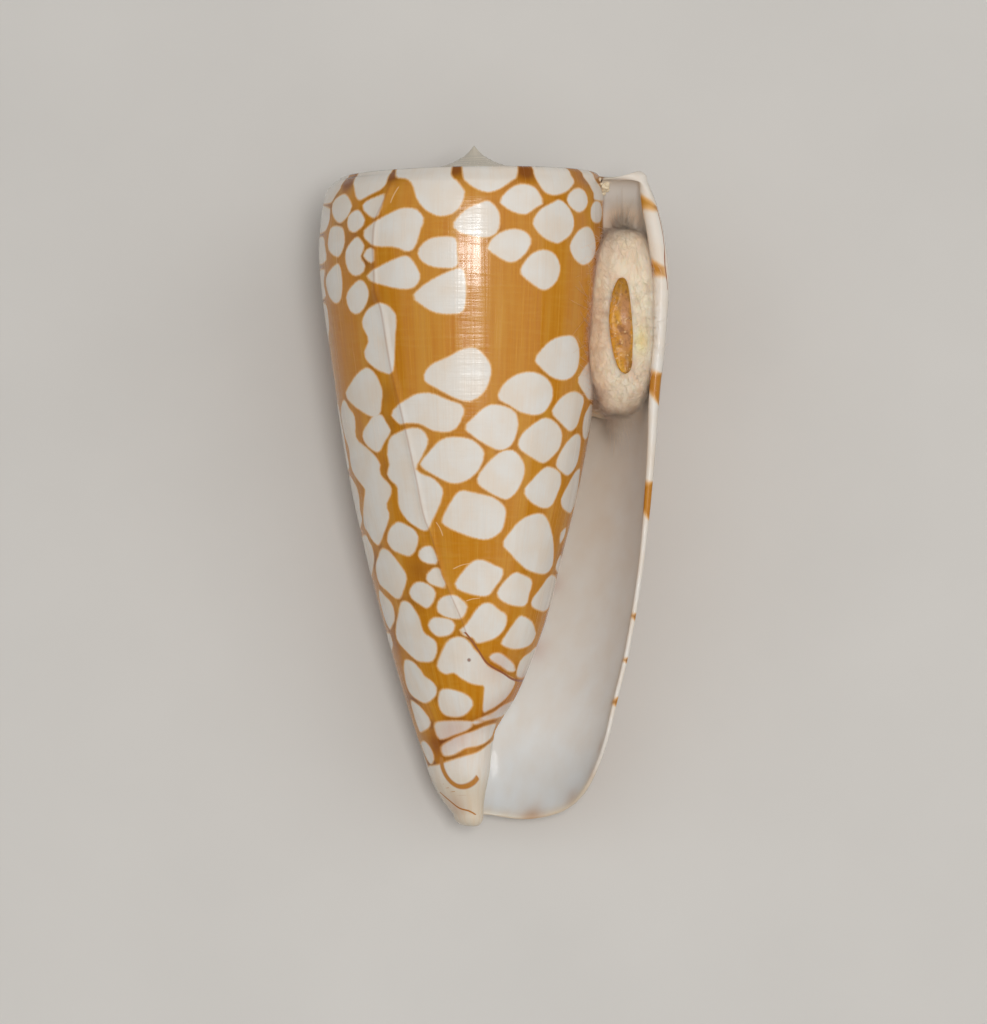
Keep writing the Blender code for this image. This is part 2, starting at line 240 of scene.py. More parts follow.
def wall_thickness(turn, height):
    """Thin at the lip and along the front margin, and thicker further in."""
    away = fade(turn, 0, DEEP_WALL_SPAN) * fade(height - margin_height(turn), 0, MARGIN_WALL_SPAN)
    return curve_at(LIP_WALL, height) + DEEP_WALL_GAIN * away


def hollow_radius(turn, height):
    """The inner face of the outer wall, always clear of the turn inside it."""
    inner_face = side_radius(turn, height) - wall_thickness(turn, height)
    return np.maximum(inner_face, side_radius(turn + TURN, height) + LEAST_SLIT)


def margin_height(turn):
    """The outer wall's front margin, which rises at the lip's corner and to the canal."""
    corner = LIP_CORNER * np.exp(-turn / LIP_CORNER_SPAN)
    return BASE_HEIGHT + corner + CANAL_RISE * fade(turn, *CANAL_RISE_SPAN)


def floor_height(turn):
    """The hollow's floor, past the margin."""
    climb = HOLLOW_FLOOR_RISE * np.maximum(0, turn - CANAL_END) / (HOLLOW_END - CANAL_END)
    return BASE_HEIGHT + CANAL_RISE + climb


def on_spiral(turn, radius, height):
    """Points of the shell's own frame at a turn, a distance from the axis and a height."""
    angle = turn + LIP_ANGLE
    return np.stack(np.broadcast_arrays(radius * np.cos(angle), radius * np.sin(angle), height), axis=-1)


def ramp_section(turn, share):
    """Radius and height on a turn's sloping top, from its outer edge in to the next suture."""
    outer, inner = shoulder_radius(turn), shoulder_radius(turn + TURN)
    crest, suture, next_suture = crest_height(turn), suture_height(turn), suture_height(turn + TURN)
    rounding = mix(suture, crest, np.sin(np.clip(share / CREST_STOP, 0, 1) * math.pi / 2))
    past = np.clip((share - CREST_STOP) / (1 - CREST_STOP), 0, 1)
    slope = mix(crest, next_suture, past) - RAMP_DIP * (outer - inner) * np.sin(past * math.pi)
    return mix(outer, inner, share), np.where(share <= CREST_STOP, rounding, slope)


def column_turn(column):
    """The turn angle of a column. Columns are closest together at the front, which shows most."""
    plain = np.asarray(column) / COLUMNS * TURN
    return plain - FRONT_CROWDING * (np.sin(plain - FRONT_PHASE) + math.sin(FRONT_PHASE))


def column_at(turn):
    """The first column that reaches a turn."""
    return int(np.searchsorted(column_turn(np.arange(COLUMNS)), turn))


def waves(places, bands, seed):
    """Seeded smooth noise along a line: the sum of bands of (cycles a unit, size)."""
    random = np.random.default_rng(seed)
    total = np.zeros_like(places)
    for pace, size in bands:
        table = random.uniform(-1, 1, WAVE_TABLE)
        spot = places * pace + WAVE_START
        whole = np.floor(spot).astype(int)
        first, last = table[whole % WAVE_TABLE], table[(whole + 1) % WAVE_TABLE]
        total += size * mix(first, last, smooth_step(spot - whole))
    return total


# The photo's view of the shell

TARGET = np.array(((PHOTO_WIDTH / 2 - AXIS_COLUMN) * PIXEL, 0, (TIP_LINE - PHOTO_HEIGHT / 2) * PIXEL))
FORWARD = np.array((0, math.cos(CAMERA_DIP), math.sin(CAMERA_DIP)))
UPWARD = np.array((0, -math.sin(CAMERA_DIP), math.cos(CAMERA_DIP)))
EYE = TARGET - CAMERA_DISTANCE * FORWARD


def sight_lines(pixels):
    """The direction from the eye through each pixel, long enough to reach the axis's plane."""
    across, down = np.array(pixels, float).T
    right = (across - PHOTO_WIDTH / 2) * PIXEL
    up = (PHOTO_HEIGHT / 2 - down) * PIXEL
    through = TARGET + right[:, None] * np.array((1, 0, 0)) + up[:, None] * UPWARD
    return through - EYE


def seen_at_depth(pixels, depth):
    """The points behind pixels that lie on the plane y = depth."""
    lines = sight_lines(pixels)
    return EYE + lines * ((depth - EYE[1]) / lines[:, 1])[:, None]


def seen_on_side(pixels):
    """(turn, climb) where pixels fall on the body whorl's front. A pixel outside the outline counts
    as lying that far round the edge, and one above the shoulder that far in over it."""
    limb = math.pi - LIP_ANGLE
    depth = np.full(len(pixels), FIRST_DEPTH)
    for _ in range(DEPTH_ROUNDS):
        x, y, z = seen_at_depth(pixels, depth).T
        turn = np.mod(np.arctan2(np.minimum(y, -1e-6), x), TURN) - LIP_ANGLE
        radius = side_radius(turn, z)
        depth = mix(depth, -np.sqrt(np.maximum(radius**2 - x**2, 0)), DEPTH_STEP)
    beyond = np.maximum(-x - side_radius(limb, z), 0)
    turn = np.where(beyond > 0, limb - beyond / radius, turn)
    return np.stack((turn, z), axis=-1)


def smooth_outline(points, closed=True):
    """A Catmull-Rom curve through points."""
    points = np.array(points, float)
    if closed:
        before, start = np.roll(points, 1, 0), points
        end, after = np.roll(points, -1, 0), np.roll(points, -2, 0)
    else:
        padded = np.concatenate((2 * points[:1] - points[1:2], points, 2 * points[-1:] - points[-2:-1]))
        before, start, end, after = padded[:-3], padded[1:-2], padded[2:-1], padded[3:]
    shares = (np.arange(CURVE_STEPS) / CURVE_STEPS)[:, None, None]
    curve = 0.5 * (2 * start + (end - before) * shares
                   + (2 * before - 5 * start + 4 * end - after) * shares**2
                   + (3 * start - before - 3 * end + after) * shares**3)
    curve = curve.transpose(1, 0, 2).reshape(-1, 2)
    return curve if closed else np.concatenate((curve, points[-1:]))


# The white cells of the front, each outlined in the photo's pixels as x, y, x, y and so on

SHOULDER_CELLS = (
    (352, 150, 386, 150, 388, 177, 386, 183, 381, 189, 371, 194, 360, 200, 356, 197, 354, 188),
    (344, 194, 351, 203, 350, 211, 345, 219, 339, 223, 334, 218, 332, 210, 334, 201),
    (358, 210, 364, 219, 363, 225, 355, 232, 349, 230, 347, 223, 349, 215),
    (385, 194, 375, 197, 365, 202, 362, 207, 365, 212, 371, 217, 377, 217, 381, 209, 384, 200),
    (335, 226, 342, 228, 344, 235, 344, 244, 341, 253, 337, 257, 331, 253, 328, 246, 330, 230),
    (357, 237, 362, 242, 364, 248, 361, 254, 360, 259, 364, 263, 364, 270, 359, 275, 353, 275, 348, 270,
     345, 260, 346, 250, 351, 242),
    (371, 248, 366, 250, 363, 255, 366, 260, 372, 263, 374, 260, 374, 251),
    (365, 229, 381, 218, 399, 209, 408, 208, 417, 210, 424, 219, 422, 225, 419, 234, 417, 242, 412, 250,
     405, 251, 395, 247, 376, 246, 367, 241, 363, 235),
    (394, 148, 446, 148, 451, 174, 457, 181, 464, 190, 464, 197, 459, 208, 451, 214, 440, 216, 429, 212,
     421, 205, 416, 197, 413, 186, 407, 179, 396, 175),
    (453, 224, 465, 210, 480, 203, 489, 201, 498, 210, 500, 222, 497, 232, 489, 237, 477, 237, 465, 234,
     458, 231),
    (465, 150, 517, 150, 517, 175, 511, 181, 501, 188, 489, 192, 477, 189, 467, 182, 463, 174),
    (500, 200, 511, 188, 523, 184, 535, 188, 541, 197, 543, 203, 535, 208, 526, 214, 514, 212, 504, 206),
    (537, 150, 560, 150, 570, 174, 574, 182, 567, 191, 555, 195, 545, 192, 539, 184, 534, 173),
    (567, 198, 572, 191, 579, 188, 586, 193, 588, 203, 584, 210, 578, 212, 570, 206),
    (596, 201, 600, 203, 602, 211, 601, 220, 598, 223, 593, 221, 591, 214, 592, 206),
    (578, 160, 585, 160, 592, 174, 598, 184, 603, 195, 605, 200, 596, 200, 594, 193, 589, 184, 583, 176),
    (533, 221, 540, 210, 552, 203, 560, 200, 569, 208, 574, 220, 572, 232, 564, 240, 556, 243, 543, 237,
     535, 228),
    (488, 246, 494, 237, 504, 231, 516, 229, 527, 233, 531, 241, 527, 251, 518, 260, 509, 262, 497, 256,
     489, 250),
    (520, 271, 526, 260, 535, 252, 546, 250, 555, 255, 560, 266, 558, 278, 552, 286, 543, 290, 531, 283,
     522, 275),
    (570, 246, 574, 237, 581, 229, 589, 227, 594, 234, 596, 246, 594, 257, 585, 265, 577, 261, 572, 254),
    (418, 251, 426, 241, 438, 237, 455, 238, 457, 251, 457, 266, 446, 268, 431, 266, 421, 260),
    (367, 275, 380, 266, 400, 257, 409, 257, 417, 268, 420, 278, 414, 287, 402, 289, 383, 285, 369, 280),
    (413, 296, 424, 285, 441, 275, 460, 268, 465, 275, 466, 295, 463, 311, 451, 314, 434, 312, 419, 303),
    (326, 280, 332, 268, 338, 264, 341, 273, 342, 287, 340, 300, 335, 303, 329, 295),
    (346, 297, 351, 287, 360, 280, 367, 287, 368, 297, 363, 309, 356, 314, 349, 309),
)
MIDDLE_CELLS = (
    (380, 303, 388, 306, 395, 314, 396, 321, 395, 336, 394, 363, 392, 373, 385, 373, 376, 369, 367, 361,
     364, 353, 367, 345, 368, 339, 365, 332, 362, 325, 363, 317, 368, 309, 374, 305),
    (365, 368, 371, 370, 376, 376, 380, 385, 382, 393, 381, 403, 380, 412, 376, 417, 370, 416, 361, 411,
     353, 405, 347, 398, 346, 392, 350, 384, 356, 375),
    (373, 416, 381, 415, 386, 423, 390, 430, 388, 436, 384, 442, 381, 449, 377, 452, 371, 449, 365, 443,
     362, 436, 363, 431, 368, 423),
    (344, 400, 349, 408, 354, 416, 355, 425, 355, 435, 358, 441, 364, 446, 374, 455, 380, 465, 379, 472,
     383, 478, 390, 486, 391, 493, 388, 500, 386, 506, 389, 515, 387, 524, 384, 532, 381, 540, 378, 545,
     373, 541, 368, 532, 364, 524, 364, 501, 365, 491, 362, 485, 356, 477, 352, 469, 350, 458, 349, 448,
     345, 436, 342, 422, 341, 411),
    (389, 439, 397, 433, 407, 429, 417, 428, 424, 432, 428, 441, 425, 450, 420, 460, 416, 468, 422, 474,
     432, 478, 439, 484, 443, 491, 441, 501, 437, 511, 432, 521, 428, 530, 422, 530, 415, 526, 408, 521,
     401, 512, 398, 503, 397, 487, 391, 481, 387, 474, 389, 464, 387, 455),
    (391, 414, 396, 407, 412, 396, 422, 393, 434, 394, 448, 400, 460, 404, 464, 410, 461, 420, 455, 429,
     445, 432, 432, 430, 420, 424, 408, 423, 400, 424, 394, 419),
    (424, 375, 431, 365, 448, 357, 463, 349, 475, 348, 484, 355, 491, 367, 489, 382, 482, 394, 470, 401,
     455, 398, 438, 389, 426, 382),
    (498, 395, 504, 384, 516, 375, 531, 372, 545, 377, 552, 387, 552, 399, 545, 411, 535, 415, 521, 412,
     509, 405, 500, 400),
    (535, 359, 543, 348, 552, 340, 564, 336, 574, 337, 579, 348, 579, 363, 574, 375, 564, 380, 552, 377,
     540, 367),
    (552, 411, 560, 399, 569, 393, 577, 392, 584, 399, 581, 413, 577, 426, 570, 431, 562, 424, 554, 416),
    (465, 427, 475, 416, 487, 406, 499, 405, 514, 411, 518, 423, 515, 438, 509, 447, 499, 450, 487, 445,
     472, 435),
    (518, 444, 523, 433, 535, 423, 545, 418, 555, 422, 562, 433, 560, 447, 552, 457, 543, 463, 531, 457,
     521, 450),
    (556, 464, 562, 450, 569, 440, 577, 434, 581, 438, 580, 450, 577, 464, 569, 475, 562, 472),
    (477, 481, 487, 464, 501, 452, 514, 451, 523, 462, 524, 474, 518, 489, 511, 497, 504, 499, 489, 492),
    (420, 464, 429, 452, 441, 440, 455, 437, 472, 440, 483, 450, 483, 460, 477, 472, 465, 481, 451, 483,
     434, 475, 424, 469),
    (442, 520, 451, 502, 460, 491, 475, 493, 494, 498, 505, 508, 505, 519, 501, 531, 489, 539, 475, 538,
     458, 532, 446, 526),
    (524, 491, 533, 479, 543, 469, 550, 467, 560, 473, 561, 484, 558, 492, 552, 505, 543, 508, 531, 502),
    (579, 469, 580, 471, 578, 487, 576, 500, 573, 508, 570, 513, 564, 509, 561, 502, 563, 495, 570, 482,
     575, 473),
    (591, 404, 593, 413, 590, 427, 587, 438, 584, 438, 583, 429, 584, 419, 587, 411),
    (578, 381, 581, 374, 586, 366, 592, 360, 596, 370, 595, 396, 590, 400, 584, 392),
)
LOWER_CELLS = (
    (503, 544, 511, 531, 521, 520, 535, 514, 545, 516, 552, 533, 554, 553, 552, 567, 544, 574, 528, 570,
     516, 560, 511, 554),
    (399, 522, 408, 526, 414, 530, 418, 537, 417, 545, 414, 552, 409, 556, 401, 554, 393, 550, 388, 544,
     387, 538, 389, 530, 394, 524),
    (428, 546, 422, 548, 418, 554, 421, 560, 427, 563, 436, 564, 438, 560, 435, 552, 432, 547),
    (434, 568, 428, 573, 426, 578, 429, 583, 436, 586, 445, 588, 446, 584, 442, 575, 440, 569),
    (381, 549, 387, 550, 393, 556, 399, 564, 405, 573, 406, 581, 403, 591, 400, 598, 395, 598, 387, 591,
     380, 584, 377, 576, 376, 566, 378, 557),
    (415, 583, 421, 582, 429, 585, 435, 591, 435, 597, 431, 605, 426, 608, 419, 604, 412, 599, 409, 593,
     411, 587),
    (451, 595, 457, 596, 462, 600, 467, 605, 466, 612, 462, 618, 457, 619, 450, 618, 442, 615, 437, 610,
     438, 602, 443, 597),
    (433, 618, 443, 618, 451, 620, 455, 625, 452, 633, 445, 636, 437, 636, 431, 631, 428, 625),
    (404, 601, 410, 604, 415, 611, 419, 618, 421, 626, 424, 633, 430, 637, 435, 641, 437, 647, 436, 655,
     432, 661, 426, 662, 418, 661, 411, 656, 405, 650, 399, 643, 396, 635, 396, 625, 398, 614, 400, 604),
    (379, 590, 385, 596, 391, 603, 394, 612, 394, 621, 391, 628, 389, 628, 385, 619, 381, 605),
    (405, 660, 411, 661, 416, 665, 421, 671, 424, 676, 431, 681, 436, 687, 436, 694, 431, 700, 425, 703,
     418, 700, 411, 694, 407, 686, 405, 676, 404, 667),
    (440, 691, 448, 689, 457, 691, 465, 694, 471, 699, 473, 705, 468, 712, 462, 716, 454, 717, 445, 715,
     440, 710, 438, 702),
    (449, 640, 457, 637, 464, 638, 470, 643, 474, 649, 480, 655, 487, 665, 495, 670, 506, 675, 515, 681,
     513, 688, 507, 697, 499, 704, 489, 710, 483, 711, 484, 692, 484, 686, 478, 685, 470, 683, 461, 678,
     454, 673, 446, 674, 440, 671, 437, 666, 440, 656, 444, 647),
    (486, 603, 492, 604, 499, 610, 506, 615, 506, 624, 502, 632, 495, 638, 487, 641, 477, 643, 473, 638,
     466, 636, 461, 633, 460, 630, 465, 626, 470, 619, 476, 610, 481, 605),
    (520, 616, 525, 617, 532, 622, 535, 629, 536, 635, 531, 644, 523, 648, 514, 649, 506, 647, 501, 643,
     505, 636, 511, 627, 516, 620),
    (553, 575, 556, 581, 555, 587, 553, 597, 550, 605, 545, 611, 538, 610, 532, 606, 532, 600, 537, 593,
     543, 585, 548, 578),
    (497, 594, 504, 582, 514, 573, 521, 574, 532, 581, 529, 594, 526, 605, 516, 606, 504, 602),
    (455, 584, 461, 574, 472, 562, 482, 560, 494, 565, 503, 570, 501, 579, 495, 587, 489, 595, 480, 596,
     467, 593, 458, 589),
    (556, 570, 558, 560, 561, 555, 560, 565, 558, 573),
    (560, 541, 561, 533, 566, 528, 564, 537, 561, 543),
)
BASE_CELLS = (
    (411, 701, 418, 705, 425, 713, 430, 721, 428, 728, 421, 732, 418, 729, 414, 717),
    (435, 723, 447, 721, 465, 721, 474, 723, 467, 730, 454, 735, 443, 739, 438, 738, 435, 731),
    (468, 724, 481, 718, 494, 712, 506, 704, 515, 700, 510, 711, 500, 717, 488, 720, 477, 724),
    (441, 747, 447, 742, 459, 736, 474, 731, 486, 726, 496, 724, 493, 734, 486, 742, 477, 746, 466, 748,
     455, 754, 446, 756, 442, 754),
    (424, 741, 430, 747, 434, 758, 431, 764, 424, 756, 418, 745),
    (490, 655, 499, 653, 507, 658, 514, 665, 515, 671, 508, 671, 499, 665, 491, 660),
    (531, 652, 536, 647, 537, 654, 532, 668, 524, 677, 517, 676, 519, 664, 524, 657),
    (437, 765, 452, 760, 465, 756, 478, 752, 489, 744, 496, 742, 498, 770, 496, 800, 484, 820, 466, 822,
     450, 811, 436, 796, 424, 780, 422, 768),
)
# White slivers at the left edge, which go on round the back
EDGE_CELLS = (
    (346, 172, 341, 186, 335, 196, 330, 203, 318, 202, 310, 190, 318, 176, 334, 168),
    (329, 208, 330, 214, 329, 222, 325, 231, 317, 233, 307, 226, 305, 212, 316, 205),
    (323, 237, 325, 246, 326, 253, 327, 259, 322, 264, 311, 262, 302, 250, 308, 239),
    (325, 270, 324, 278, 324, 286, 326, 296, 320, 299, 308, 294, 302, 282, 308, 271),
    (322, 303, 326, 305, 328, 315, 329, 328, 328, 340, 322, 345, 312, 336, 306, 320, 311, 305),
    (338, 404, 341, 420, 344, 438, 347, 455, 349, 467, 340, 470, 328, 455, 321, 430, 326, 408),
    (350, 476, 355, 484, 359, 495, 360, 510, 362, 521, 357, 529, 343, 520, 333, 500, 337, 480),
    (365, 535, 369, 541, 373, 550, 374, 562, 372, 573, 366, 575, 352, 562, 349, 542),
)
SEEN_CELLS = SHOULDER_CELLS + MIDDLE_CELLS + LOWER_CELLS + BASE_CELLS + EDGE_CELLS

# Orange marks on the lip's edge: the rows of the photo between which each lies at the edge's inner
# side and at its outer side. The lip is white between them
LIP_MARKS = ((150, 150, 150, 150), (205, 220, 210, 212), (268, 285, 271, 278), (378, 400, 374, 406),
             (487, 517, 482, 521), (616, 618, 613, 621), (660, 661, 657, 663), (700, 704, 696, 706),
             (745, 745, 745, 745))
LIP_CELL_REACH = (-3.0, 1.0)
# A thin brown line down the lip's edge, as rows of the photo and mm from the edge's outer side
LIP_LINE = ((208, -0.12), (226, -0.12), (244, -0.14), (262, -0.3), (277, -0.28), (292, -0.1))
LIP_LINE_WIDTHS = (0.6, 0.5)

# The healed edge of an old lip and the dark line that it ends in, down the front
SCAR = ((392, 181), (384, 201), (376, 218), (373, 237), (374, 273), (375, 293), (381, 310), (386, 340),
        (392, 374), (399, 402), (408, 440), (417, 481), (424, 516), (432, 537), (443, 576), (462, 621),
        (467, 635))
# Brown strokes over the pattern: points in the photo's pixels, and the half width at either end
STROKES = (
    (((465, 632), (472, 641), (480, 653), (488, 664), (503, 673), (515, 680), (525, 681)), 0.8, 1.3),
    (((441, 757), (442, 767), (446, 776), (452, 783), (459, 786.5), (467, 786), (474, 782), (478, 777)),
     1.7, 3.4),
    (((440, 792), (450, 801), (459, 808), (469, 811), (476, 815)), 0.8, 0.9),
)
SCRATCHES = (
    (((436, 522), (440, 528), (443, 536)), 0.5, 0.7),
    (((453, 569), (462, 565), (473, 563)), 0.6, 0.4),
    (((466, 601), (472, 599), (480, 598)), 0.6, 0.4),
    (((390, 203), (394, 194), (399, 186)), 0.8, 0.8),
)
DOT = (469, 660)
DOT_RADIUS = 0.13

# Blurred stains: place in the photo, radius in mm, strength. The first set turns only the ground brown
RUST_SPOTS = (((349, 182), 0.75, 1.0), ((391, 175), 0.7, 1.0), ((454, 169), 0.6, 0.8),
              ((526, 172), 0.6, 0.8), ((587, 178), 0.7, 0.6), ((366, 262), 0.8, 0.5),
              ((372, 300), 0.9, 0.45), ((351, 240), 1.4, 0.35), ((384, 395), 0.8, 0.35),
              ((390, 470), 1.0, 0.35), ((388, 425), 0.8, 0.4), ((468, 634), 0.6, 0.5),
              ((437, 744), 0.9, 0.55), ((560, 560), 0.9, 0.5), ((360, 470), 1.2, 0.4),
              ((376, 560), 1.0, 0.4), ((420, 570), 1.0, 0.4), ((412, 600), 0.9, 0.35),
              ((395, 640), 1.2, 0.4), ((410, 700), 1.0, 0.5))
PLUM_SPOTS = (((588, 330), 0.7, 0.5), ((590, 300), 0.6, 0.4), ((585, 370), 0.6, 0.35),
              ((598, 225), 0.6, 0.4), ((595, 255), 0.5, 0.3), ((548, 612), 0.8, 0.5),
              ((556, 585), 0.6, 0.5), ((562, 552), 0.6, 0.4), ((536, 650), 0.9, 0.5),
              ((500, 664), 1.1, 0.5), ((522, 682), 1.0, 0.8), ((508, 702), 1.0, 0.7),
              ((488, 716), 1.2, 0.45), ((460, 738), 1.3, 0.45), ((437, 746), 1.0, 0.5),
              ((450, 728), 1.0, 0.35), ((455, 806), 0.8, 0.5))
# Fluff of the cotton on the shell round it: radius and strength, then the places in the photo
FLUFF_RUNS = (
    (0.4, 0.5, ((605, 228), (603, 240), (600, 256), (597, 272), (594, 288), (592, 304), (591, 320),
                (590, 336), (590, 352), (591, 368), (593, 384), (595, 398))),
    (0.8, 0.5, ((604, 410), (616, 417), (628, 419), (640, 412))),
    (0.8, 0.8, ((612, 219), (624, 216), (636, 219))),
)
FLUFF_SPOTS = [(place, radius, strength) for radius, strength, places in FLUFF_RUNS for place in places]
LIP_BLOTS = (((600, 747), 0.4, 0.6), ((591, 772), 0.55, 0.4), ((572, 797), 0.75, 0.5),
             ((532, 816), 0.85, 0.8))
# Painted shade on the hollow's ceiling above the cotton, as grey spots: place in the photo, radius in mm,
# strength
CEILING_SHADE_SPOTS = (((614, 214), 0.5, 0.8), ((617, 222), 0.5, 0.6), ((630, 215), 0.6, 0.7),
                 ((622, 207), 0.8, 0.5), ((606, 203), 0.7, 0.4), ((634, 205), 0.6, 0.4),
                 ((612, 192), 1.0, 0.2), ((628, 192), 1.0, 0.2))

# Cells of the hidden back, on a jittered lattice in mm
BACK_TURNS = (6 * DEG, 196 * DEG)
BACK_HEIGHTS = (2.2, 45.0)
BACK_ROW_PITCH = 2.55
BACK_COLUMN_PITCH = 2.75
NARROW_PITCH, FULL_PITCH_RISE = 0.45, 26
BACK_JITTER = 0.3
BACK_CELL_INSET = (0.16, 0.42)
BACK_ROUNDING, CORNER_SHARE = 0.42, 0.42
BACK_BANDS = ((32.0, 37.5, 0.86), (16.5, 20.5, 0.62))
BACK_DROPPED = 0.07
BACK_LEAN, BACK_STRETCH = 0.35, (0.85, 1.15)
# How far neighbours count, half the widest cell, the way to its nose, the narrowest cell that is kept,
# and the sizes that are tried until a cell is clear of the seen ones
BACK_REACH, BACK_HALF, BACK_NOSE, BACK_LEAST = 6, 3, 1.35, 0.7
BACK_SIZES = (1, 0.85, 0.7, 0.55)
CLEAR_OF_SEEN = 0.22


def signed_distance(points, outline):
    """Distance of points inside (positive) or outside (negative) a closed outline."""
    start, end = outline, np.roll(outline, -1, 0)
    edge = end - start
    to_point = points[:, None, :] - start
    lengths = np.maximum((edge**2).sum(-1), 1e-12)
    share = np.clip((to_point * edge).sum(-1) / lengths, 0, 1)
    distance = np.sqrt(((to_point - share[..., None] * edge) ** 2).sum(-1).min(1))
    straddles = (start[:, 1] > points[:, 1, None]) != (end[:, 1] > points[:, 1, None])
    run = np.where(np.abs(edge[:, 1]) < 1e-12, 1e-12, edge[:, 1])
    crossing = start[:, 0] + (points[:, 1, None] - start[:, 1]) * edge[:, 0] / run
    inside = (straddles & (points[:, 0, None] < crossing)).sum(1) % 2 == 1
    return np.where(inside, distance, -distance)


class Cell:
    """A white cell: its outline in the chart of (turn, climb), with local millimetres round its middle."""

    def __init__(self, chart_points, smooth=True):
        chart = np.array(chart_points)
        self.middle = (chart.min(0) + chart.max(0)) / 2
        self.radius = float(side_radius(self.middle[0], min(self.middle[1], SHOULDER_CLIMB)))
        local = self.local(chart)
        self.outline = smooth_outline(local) if smooth else local
        self.reach = np.abs(self.outline).max(0)

    def local(self, chart):
        return (chart - self.middle) * (self.radius, 1)

    def chart(self):
        return self.outline / (self.radius, 1) + self.middle

    def near(self, other, gap):
        """Whether another cell's outline comes closer than a gap."""
        apart = np.abs(self.local(other.middle)) - self.reach - other.reach
        if (apart > gap).any():
            return False
        return signed_distance(self.local(other.chart()), self.outline).max() > -gap

    def depth(self, chart):
        """(indices, depths) of the chart points near the cell."""
        local = self.local(chart)
        close = np.flatnonzero((np.abs(local) < self.reach + FAR).all(1))
        return close, signed_distance(local[close], self.outline)


def lip_cells():
    """White cells that wrap round the lip's edge, between the orange marks on it, and one outside the
    thin line down it."""
    cells = []
    inmost, outmost = LIP_CELL_REACH
    for above, below in zip(LIP_MARKS, LIP_MARKS[1:]):
        rows = np.array((above[1], above[3], below[2], below[0]))
        high, high_out, low_out, low = (TIP_LINE - rows) * PIXEL
        middle = (high + low) / 2
        radius = float(side_radius(0, min(middle, SHOULDER_CLIMB)))
        rim = -float(wall_thickness(0, middle))
        corners = ((inmost, low), (rim, low), (0, low_out), (outmost, low_out),
                   (outmost, high_out), (0, high_out), (rim, high), (inmost, high))
        cells.append(Cell([(across / radius, height) for across, height in corners], smooth=False))
    line = lip_line()
    reach = outmost / float(side_radius(0, line[0, 1]))
    cells.append(Cell([*line, (reach, line[-1, 1]), (reach, line[0, 1])], smooth=False))
    return cells


def lip_line():
    """The thin line down the lip's edge, as places in the chart."""
    heights = [(TIP_LINE - row) * PIXEL for row, across in LIP_LINE]
    return np.array([(across / float(side_radius(0, height)), height)
                     for height, (row, across) in zip(heights, LIP_LINE)])


def clipped(polygon, point, direction):
    """The part of a convex polygon behind the line through a point across a direction."""
    kept = []
    for start, end in zip(polygon, np.roll(polygon, -1, 0)):
        before, after = (start - point) @ direction, (end - point) @ direction
        if before <= 0:
            kept.append(start)
        if (before < 0) != (after < 0) and before != after:
            kept.append(start + (end - start) * (before / (before - after)))
    return np.array(kept)


def back_seeds(random):
    """Jittered lattice places over the back, as (turn, climb)."""
    seeds = []
    low, high = BACK_HEIGHTS
    for row, height in enumerate(np.arange(low, high, BACK_ROW_PITCH)):
        radius = float(side_radius(math.pi / 2, height))
        pitch = BACK_COLUMN_PITCH * min(1, NARROW_PITCH + height / FULL_PITCH_RISE) / radius
        for turn in np.arange(BACK_TURNS[0] - 0.5 * pitch * (row % 2), BACK_TURNS[1], pitch):
            shift = random.uniform(-BACK_JITTER, BACK_JITTER, 2)
            seeds.append((turn + shift[0] * pitch, height + shift[1] * BACK_ROW_PITCH))
    return np.array(seeds)


def rounded_cell(polygon, rounding):
    """A convex polygon's outline with rounded corners, as points for a smooth curve."""
    points = []
    for before, corner, after in zip(np.roll(polygon, 1, 0), polygon, np.roll(polygon, -1, 0)):
        for neighbour in (before, after):
            edge = neighbour - corner
            length = np.linalg.norm(edge)
            points.append(corner + edge * min(rounding, CORNER_SHARE * length) / max(length, 1e-9))
    return np.array(points)


def bare_share(height):
    """How many of the back's cells are left out at a height, which leaves the orange bands."""
    for low, high, share in BACK_BANDS:
        if low < height < high:
            return share
    return BACK_DROPPED


def back_polygon(neighbours, inset, lean, stretch):
    """A lattice cell in mm round its place: what is nearer to it than to its neighbours, less an inset,
    with a blunt nose to the left."""
    half = BACK_HALF
    polygon = np.array(((-half, -half), (half, -half), (half, half), (-half, half)), float)
    for neighbour in neighbours:
        gap = np.linalg.norm(neighbour)
        direction = neighbour / gap
        polygon = clipped(polygon, direction * (gap / 2 * stretch - inset), direction)
        if len(polygon) < 3:
            return polygon
    nose = np.array((-1.0, lean))
    return clipped(polygon, nose * BACK_NOSE, nose / np.linalg.norm(nose))


def back_cells(seen):
    """White cells for the side that the photo doesn't show, clear of those that it shows."""
    random = np.random.default_rng(BACK_SEED)
    seeds = back_seeds(random)
    cells = []
    for place in seeds:
        turn, height = place
        drop, inset = random.uniform(), random.uniform(*BACK_CELL_INSET)
        lean, stretch = random.uniform(-BACK_LEAN, BACK_LEAN), random.uniform(*BACK_STRETCH)
        if drop < bare_share(height) or turn < 0:
            continue
        scale = (float(side_radius(turn, min(height, SHOULDER_CLIMB))), 1)
        local = (seeds - place) * scale
        local = local[(np.hypot(*local.T) < BACK_REACH) & (np.hypot(*local.T) > 1e-6)]
        polygon = back_polygon(local, inset, lean, stretch)
        if len(polygon) < 3 or np.ptp(polygon, 0).min() < BACK_LEAST:
            continue
        outline = rounded_cell(polygon, BACK_ROUNDING)
        for size in BACK_SIZES:
            cell = Cell(outline * size / scale + place)
            if not any(cell.near(other, CLEAR_OF_SEEN) for other in seen):
                cells.append(cell)
                break
    return cells


def in_layers(cells):
    """Sorts cells into layers, so that no two of one layer are close neighbours."""
    layers = []
    for cell in cells:
        for layer in layers:
            if not any(cell.near(other, LAYER_GAP) for other in layer):
                layer.append(cell)
                break
        else:
            layers.append([cell])
    return layers


def layer_depths(layers, chart):
    """How deep inside its nearest cell each chart point is, layer by layer."""
    depths = np.full((len(layers), len(chart)), -FAR)
    for depth, layer in zip(depths, layers):
        for cell in layer:
            close, values = cell.depth(chart)
            depth[close] = np.maximum(depth[close], values)
    return depths


